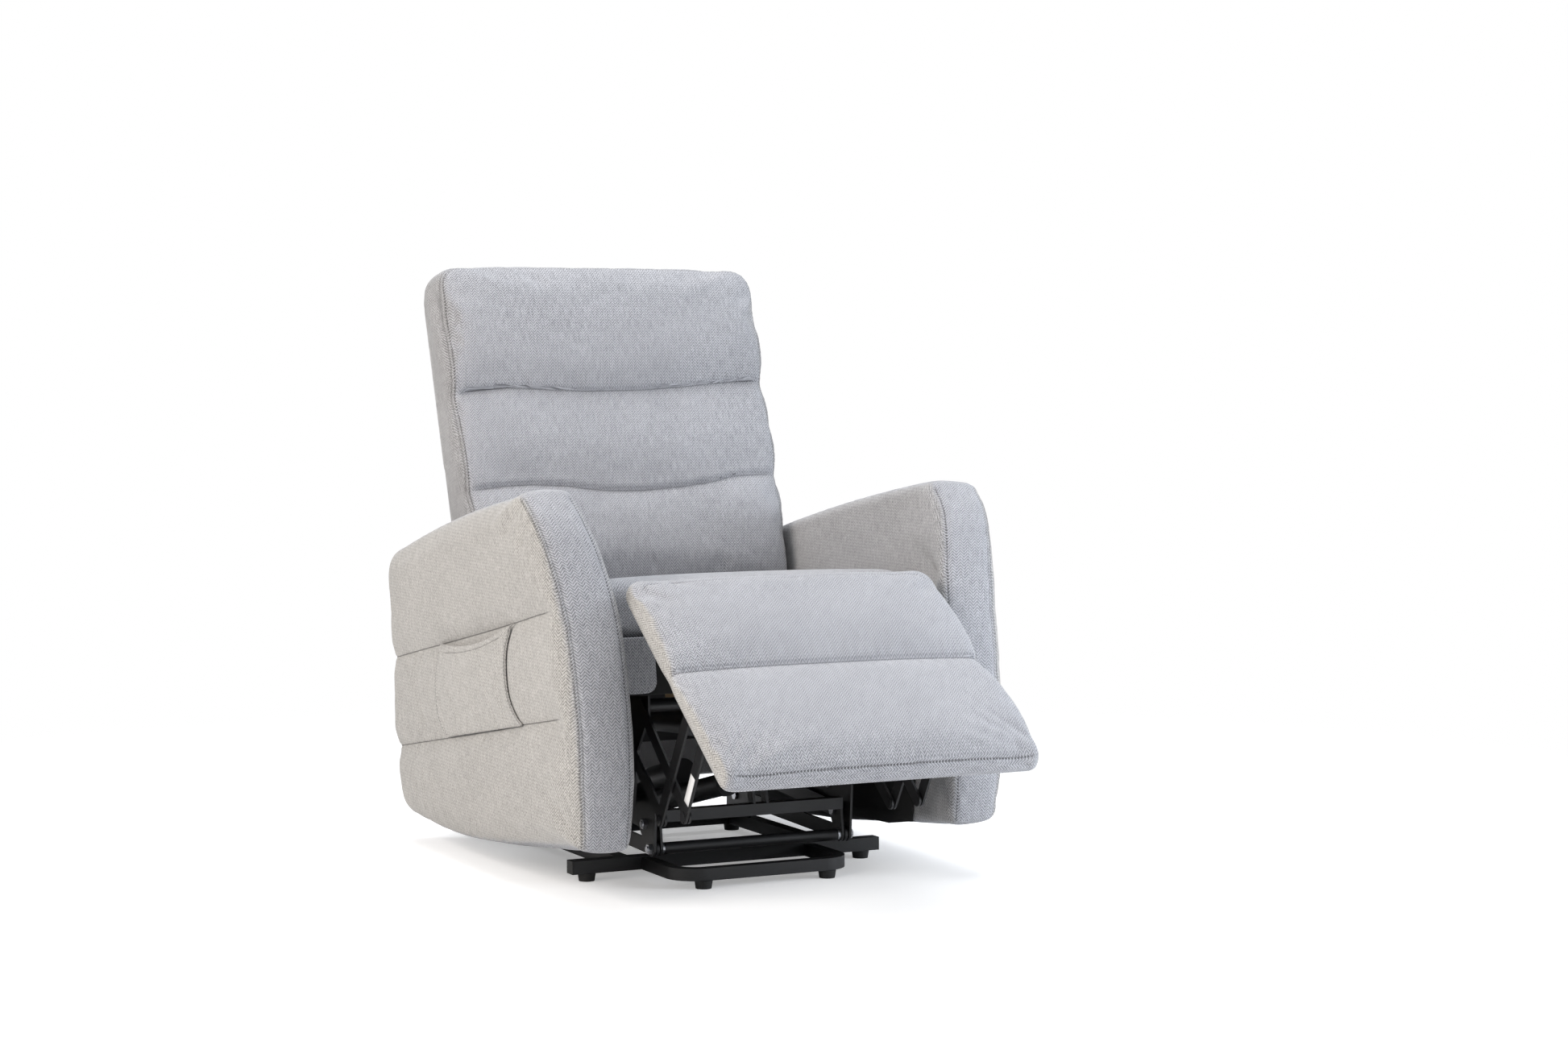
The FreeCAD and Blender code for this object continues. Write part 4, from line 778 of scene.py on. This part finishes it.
def legrestPlace(points):
    c = math.cos(legrest["slope"])
    s = math.sin(legrest["slope"])
    d = legrest["depth"] - points[:, 2]
    y = legrest["edge"].x - points[:, 1] * c + d * s
    z = legrest["edge"].y - points[:, 1] * s - d * c
    return np.stack([points[:, 0], y, z], axis=1)


def makeLegrest():
    half = legrest["half"]
    low = legrest["length"]
    corners = [Vector((-half, 0)), Vector((half, 0)), Vector((half, low)), Vector((-half, low))]
    ring = roundedRing(corners, (0.036, 0.036, 0.020, 0.020))
    depth = legrest["depth"]
    piece = raisePad("legrest_cover", ring, depth, 0.013, 0.003, legrest["voxel"])
    relaxed(piece, 2)
    points = readPoints(piece.data)
    stops = (0, legrest["channel"], low)
    upward = softStep(points[:, 2], depth * 0.2, depth)
    across = np.clip(np.abs(points[:, 0]) / half, 0, 1)
    sunk = channelDepth(low - points[:, 1], [low - stop for stop in reversed(stops)],
                        legrest["edges"][::-1], legrest["swell"][::-1])
    points[:, 2] -= upward * (sunk - legrest["crown"] * (1 - across ** 3))
    # the middle of each lower side swells past its corners
    swell = np.sin(math.pi * np.clip((points[:, 1] - stops[1]) / (low - stops[1]), 0, 1))
    points[:, 0] *= 1 + legrest["sideSwell"] * swell * upward
    points[:, 0] *= 1 - legrest["waist"] * bump(points[:, 1] - stops[1], 0.02)
    writePoints(piece.data, points)
    held = softStep(0.014 - points[:, 2], 0, 0.010)
    nearChannel = (points[:, 1] - legrest["channel"]) / legrest["channelHold"]
    held = np.maximum(held, upward * np.exp(-(nearChannel ** 4)))
    inflate(piece, held, legrest["puff"], legrest["spare"])
    points = readPoints(piece.data)
    points[:, 2] = np.maximum(points[:, 2], 0)
    writePoints(piece.data, points)
    normals = readPoints(piece.data, "normal")
    u, v = points[:, 0], points[:, 1]
    gap = legrest["channel"] - v
    face = softStep(points[:, 2], 0.012, 0.020)
    pulls = uneven(u, 0.030) * np.exp(-np.abs(gap) / 0.016) * (1 - bump(gap, 0.004))
    push = -face * (legrest["crease"] * bump(gap, legrest["creaseWidth"]) - legrest["pulls"] * pulls)
    rim = fromLine(points[:, :2], [*ring, ring[0]])[0]
    ends = softStep(half - 0.014 - np.abs(u), 0, 0.01)
    # the upper row turns down towards both corners
    topRow = -np.maximum(legrest["row"] - v, legrest["row"] + 0.030 - (half - np.abs(u)) - v)
    hem = legrest["hem"] - v
    deep = legrest["rowCrease"]
    width = legrest["rowWidth"]
    push -= face * (deep * bump(topRow, width) + deep * bump(hem, width)) * ends
    writePoints(piece.data, points + normals * push[:, None])
    sideGap = points[:, 2] - 0.008
    walls = softStep(np.abs(normals[:, 0]), 0.5, 0.8)
    markLines(piece, "seam", [(gap, u, face * 0.4), (sideGap, v, walls * 0.5)])
    markLines(piece, "row", [(topRow, u, face * ends), (hem, u, face * ends)])
    lined = (points[:, 2] < 0.0015) & (rim > 0.006)
    # painted warm light on the legrest's side walls
    markWeave(piece, ring, softStep(np.abs(normals[:, 0]), 0.45, 0.9), lined)
    placed(piece, legrestPlace, "legrest_pad")
    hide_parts("legrest_cushion")


makeLegrest()
print("legrest made")


# seat cushion: u across, v back along the seat, w up from the straps
seat = {
    "slope": math.radians(9), "front": 102, "railLow": 320, "rail": 86.5, "start": 0.006, "length": 0.468,
    "half": 0.297, "height": 0.096, "crown": 0.012, "clear": 0.0006,
    "voxel": 0.008, "puff": 0.006, "spare": 0.006,
}


def seatPlace(points):
    c = math.cos(seat["slope"])
    s = math.sin(seat["slope"])
    foot = at(seat["front"], seat["railLow"])
    run = points[:, 1] + seat["start"]
    up = points[:, 2] + seat["rail"] / 1000 + seat["clear"]
    return np.stack([points[:, 0], foot.x + run * c + up * s, foot.y - run * s + up * c], axis=1)


def makeSeat():
    half = seat["half"] - 0.006
    corners = [Vector((-half, 0.004)), Vector((half, 0.004)),
               Vector((half, seat["length"] - 0.004)), Vector((-half, seat["length"] - 0.004))]
    ring = roundedRing(corners, (0.02, 0.02, 0.02, 0.02))
    piece = raisePad("seat_cover", ring, seat["height"], 0.026, 0.006, seat["voxel"])
    relaxed(piece, 3)
    points = readPoints(piece.data)
    upward = softStep(points[:, 2], 0.02, seat["height"])
    across = np.clip(np.abs(points[:, 0]) / seat["half"], 0, 1)
    along = np.clip(np.abs(points[:, 1] / seat["length"] * 2 - 1), 0, 1)
    points[:, 2] += upward * seat["crown"] * (1 - across ** 2.5) * (1 - along ** 2.5)
    writePoints(piece.data, points)
    held = softStep(0.03 - points[:, 2], 0.006, 0.02)
    inflate(piece, held, seat["puff"], seat["spare"])
    points = readPoints(piece.data)
    points[:, 2] = np.maximum(points[:, 2], 0)
    points[:, 0] = np.clip(points[:, 0], -seat["half"], seat["half"])
    writePoints(piece.data, points)
    # slight painted warm light on the seat
    markWeave(piece, ring, 0.1)
    placed(piece, seatPlace, "chair_frame")
    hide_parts("seat_cushion")


makeSeat()
print("seat made")


# thin upholstered panels: beside the legrest under the arms, and across the rear
def makePanel(name, corners, radii, thick, place, crown, warmLit):
    ring = roundedRing(corners, radii)
    piece = raisePad(name, ring, thick, thick * 0.35, thick * 0.2, min(0.004, thick * 0.4))
    relaxed(piece, 1)
    points = readPoints(piece.data)
    low = points.min(axis=0)
    high = points.max(axis=0)
    t = (points - low) / (high - low) * 2 - 1
    points[:, 2] += softStep(t[:, 2], 0, 1) * crown * (1 - t[:, 0] ** 4) * (1 - t[:, 1] ** 4)
    writePoints(piece.data, points)
    markWeave(piece, ring, warmLit)
    placed(piece, place, "chair_frame")
    return piece


def makeFrontPanels():
    low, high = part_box("seat_front_panels")
    inner = high.x - 0.091
    top = high.z + 0.010
    lean = math.tan(seat["slope"])
    corners = [Vector((inner, low.z)), Vector((high.x, low.z)), Vector((high.x, top)), Vector((inner, top))]
    for side, name in ((-1, "seat_front_cover_left"), (1, "seat_front_cover_right")):

        def place(points, side=side):
            y = low.y + 0.0065 + (points[:, 1] - low.z) * lean - points[:, 2]
            return np.stack([points[:, 0] * side, y, points[:, 1]], axis=1)
        # slight painted warm light on the front panels
        made = makePanel(name, corners, (0.022, 0.003, 0.003, 0.003), 0.0056, place, 0, 0.1)
    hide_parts("seat_front_panels")


makeFrontPanels()


def makeRearPanel():
    low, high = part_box("rear_panel")
    lowHalf = 0.2858
    highHalf = 0.3026
    corners = [Vector((-lowHalf, low.z)), Vector((lowHalf, low.z)),
               Vector((highHalf, high.z)), Vector((-highHalf, high.z))]

    def place(points):
        return np.stack([points[:, 0], low.y + 0.001 + points[:, 2], points[:, 1]], axis=1)
    # some painted warm light on the rear panel
    made = makePanel("rear_panel_cover", corners, (0.004, 0.004, 0.006, 0.006), 0.0125, place, 0.005, 0.4)
    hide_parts("rear_panel")


makeRearPanel()
print("panels made")


# side pocket: an open cloth on the left arm, sewn on three sides, its hemmed mouth sagging a little
pocket = {
    "front": ((206, 268), (236, 301), (245, 343), (243, 390), (224, 431)),
    "rear": ((537, 213), (569, 237), (580, 284), (576, 328), (566, 368)),
    "gap": 0.0085, "cloth": 0.0016, "sag": 0.019, "hem": 0.013, "hemCloth": 0.0014,
    "clear": 0.0014, "folds": 0.0021, "edge": 0.0012, "depth": 0.16, "seam": 0.0026,
}


def curved(places, t):
    spots = np.array([list(at(*p)) for p in places])
    stops = np.linspace(0, 1, len(places))
    return Vector([float(np.polyval(np.polyfit(stops, spots[:, axis], 4), t)) for axis in (0, 1)])


def makePocket():
    surface = BVHTree.FromObject(leftArm, bpy.context.evaluated_depsgraph_get())
    lowFront = at(*pocket["front"][0]).y
    lowRear = at(*pocket["rear"][0]).y
    shape = bmesh.new()
    bmesh.ops.create_grid(shape, x_segments=110, y_segments=66, size=0.5)
    seams, rows = [], []
    for vert in shape.verts:
        s = vert.co.x + 0.5
        t = vert.co.y + 0.5
        front = curved(pocket["front"], t)
        rear = curved(pocket["rear"], t)
        spot = front * (1 - s) + rear * s
        bow = math.sin(math.pi * s ** 0.8)
        spot.y -= pocket["sag"] * bow * t ** 3
        hit = surface.ray_cast(Vector((-0.6, spot.x, spot.y)), Vector((1, 0, 0)))[0]
        high = lowFront * (1 - s) + lowRear * s
        below = (1 - t) * (spot.y - high) / max(t, 0.05)
        hem = 1 if below < pocket["hem"] else 0
        open_ = pocket["gap"] * bow ** 0.7 * t ** 1.5 + 0.002 * bow ** 0.4
        tug = bow * math.sin(math.pi * t) ** 0.6
        folds = pocket["folds"] * math.sin(s * 17 + 2.4 * math.sin(t * 2.2 + s * 3)) * tug
        edge = pocket["edge"] * (math.exp(-((s / 0.02) ** 2)) + math.exp(-(((1 - s) / 0.016) ** 2)))
        out = hit.x - pocket["clear"] - open_ - abs(folds) - edge - hem * pocket["hemCloth"]
        vert.co = Vector((out, spot.x, spot.y))
        width = (rear - front).length
        rise = t * pocket["depth"]
        seams.append((s * width - pocket["seam"], rise, 1.0))
        # stitches run up the rear edge, along the hem and up the front edge
        if s > 0.9 and not hem:
            rows.append(((1 - s) * width - 0.004, rise, 0.7))
        elif s > 0.1:
            rows.append((below - pocket["hem"] - 0.001, s * width, 1.0))
        else:
            rows.append((s * width - 0.0065, rise, 1.0))
    piece = newPiece("pocket_cover", shape, cover)
    markVectors(piece.data, "seam", seams)
    markVectors(piece.data, "row", rows)
    # the pocket takes full painted warm light, like the arm side it lies on
    markVectors(piece.data, "panel", [(1, 0, 0)] * len(seams))
    points = readPoints(piece.data)
    corners = np.empty(len(piece.data.loops), int)
    piece.data.loops.foreach_get("vertex_index", corners)
    layer = piece.data.uv_layers.new(name="weave")
    layer.data.foreach_set("uv", points[corners][:, 1:].reshape(-1))
    outwards(piece)
    withModifier(piece, "SOLIDIFY", thickness=pocket["cloth"], offset=0)
    outwards(piece)
    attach(piece, "chair_frame")
    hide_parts("side_pocket")


makePocket()
print("pocket made")


# black cloth under the arms' inner sides
def makeLinings():
    ring = [(132, 232), (132, 78), (214, 64), (375, 59), (584, 58), (669, 66), (740, 84), (740, 150)]
    for side, name in ((1, "lining_right"), (-1, "lining_left")):
        shape = bmesh.new()
        outline = [at(*p) for p in ring]
        face = shape.faces.new([shape.verts.new((0, p.x, p.y)) for p in outline])
        bmesh.ops.triangulate(shape, faces=[face])
        bmesh.ops.subdivide_edges(shape, edges=shape.edges, cuts=7, use_grid_fill=True)
        for vert in shape.verts:
            wave = 0.0008 * math.sin(vert.co.y * 38) * math.sin(vert.co.z * 55)
            vert.co.x = side * (float(armInner(vert.co.y, vert.co.z)) - 0.0026 - abs(wave))
        bmesh.ops.remove_doubles(shape, verts=shape.verts, dist=0.0002)
        piece = newPiece(name, shape, finishes["lining"])
        outwards(piece)
        withModifier(piece, "SOLIDIFY", thickness=0.0012, offset=0)
        outwards(piece)
        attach(piece, "chair_frame")
    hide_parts("arm_linings")


makeLinings()


# the legrest's pivots in the side view
pivot = {
    "scissor": at(27.7, 186.3), "front": at(-25.3, 141.0), "lower": at(66.5, 123.6),
    "padRear": at(-61.1, 335.3), "padFront": at(-111.2, 294.9),
}
headProfile = ((0, 0.0090), (0.0010, 0.0082), (0.0018, 0.0050), (0.0021, 0.0001))


# round rivet heads on the link pivots, each at its distance from the middle
def makeHeads():
    pivots = {
        "legrest_drive_links": [(pivot["scissor"], 0.2026), (pivot["front"], 0.2026)],
        "legrest_long_links": [(pivot["lower"], 0.2126)],
        "legrest_pad": [(pivot["padRear"], 0.2186), (pivot["padFront"], 0.2186)],
    }
    for body, places in pivots.items():
        shape = bmesh.new()
        for centre, x in places:
            for side in (-1, 1):
                profile = [shape.verts.new(((x + rise) * side, centre.x + radius, centre.y))
                           for rise, radius in headProfile]
                edges = [shape.edges.new(pair) for pair in zip(profile, profile[1:])]
                bmesh.ops.spin(shape, geom=profile + edges, cent=(0, centre.x, centre.y), axis=(1, 0, 0),
                               angle=2 * math.pi, steps=24, use_merge=True)
        piece = newPiece(body + "_heads", shape, finishes["black_steel"])
        outwards(piece)
        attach(piece, body)


makeHeads()


# the blank film stuck on the left front link
def makeLabel():
    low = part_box("front_links")[0]
    start = pivot["front"]
    way = (pivot["padFront"] - start).normalized()
    side = Vector((-way.y, way.x))
    shape = bmesh.new()
    bmesh.ops.create_grid(shape, x_segments=2, y_segments=8, size=0.5)
    for vert in shape.verts:
        spot = start + way * (0.052 + vert.co.y * 0.052) + side * vert.co.x * 0.017
        vert.co = Vector((low.x - 0.0003, spot.x, spot.y))
    piece = newPiece("link_label", shape, labelFilm)
    outwards(piece)
    withModifier(piece, "SOLIDIFY", thickness=0.0003, offset=0)
    outwards(piece)
    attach(piece, "legrest_front_links")


makeLabel()


# studio: pale floor, white surround, soft lights
def makeStudio():
    shape = bmesh.new()
    bmesh.ops.create_circle(shape, cap_ends=True, segments=64, radius=2.6)
    make = Finish("studio_floor")
    reach = make.node("ShaderNodeVectorMath", {"operation": "LENGTH"}, {0: make.object()}, "Value")
    near = (2.3 - reach) / 1.3
    seen = make.node("ShaderNodeLightPath", {}, {}, "Is Camera Ray")
    floor = newPiece("studio_floor", shape,
                     make.surface(Base_Color=(0.90, 0.90, 0.90, 1), Roughness=0.9, Alpha=near.kept(),
                                  Specular_IOR_Level=0.1, Emission_Color=seen * 0.32,
                                  Emission_Strength=1.0))
    world = bpy.data.worlds.new("studio")
    world.use_nodes = True
    scene.world = world
    tree = world.node_tree
    tree.nodes.clear()
    seen = tree.nodes.new("ShaderNodeLightPath")
    white = tree.nodes.new("ShaderNodeBackground")
    white.inputs["Color"].default_value = (1, 1, 1, 1)
    white.inputs["Strength"].default_value = 1.0
    glow = tree.nodes.new("ShaderNodeBackground")
    glow.inputs["Color"].default_value = (0.93, 0.96, 1.0, 1)
    glow.inputs["Strength"].default_value = 0.47
    mix = tree.nodes.new("ShaderNodeMixShader")
    output = tree.nodes.new("ShaderNodeOutputWorld")
    tree.links.new(seen.outputs["Is Camera Ray"], mix.inputs[0])
    tree.links.new(glow.outputs[0], mix.inputs[1])
    tree.links.new(white.outputs[0], mix.inputs[2])
    tree.links.new(mix.outputs[0], output.inputs["Surface"])
    lamps = {
        "right_fill": {"from": (1.5, -1.1, 0.6), "size": 0.7, "power": 19, "colour": (0.88, 0.93, 1.0)},
        "warm_side": {"from": (-3.4, -0.7, 1.9), "size": 2.4, "power": 116, "colour": (1.0, 0.93, 0.86)},
        "cool_front": {"from": (2.3, -3.1, 2.2), "size": 2.2, "power": 20, "colour": (0.88, 0.93, 1.0)},
        "top": {"from": (0.3, 0.6, 3.6), "size": 3.0, "power": 92, "colour": (0.95, 0.97, 1.0)},
    }
    for name, lamp in lamps.items():
        light = bpy.data.lights.new(name, "AREA")
        light.size = lamp["size"]
        light.energy = lamp["power"]
        light.color = lamp["colour"]
        made = bpy.data.objects.new(name, light)
        made.location = lamp["from"]
        made.rotation_euler = (Vector((0, 0, 0.45)) - made.location).to_track_quat("-Z", "Y").to_euler()
        scene.collection.objects.link(made)


makeStudio()
scene.view_settings.view_transform = "Standard"
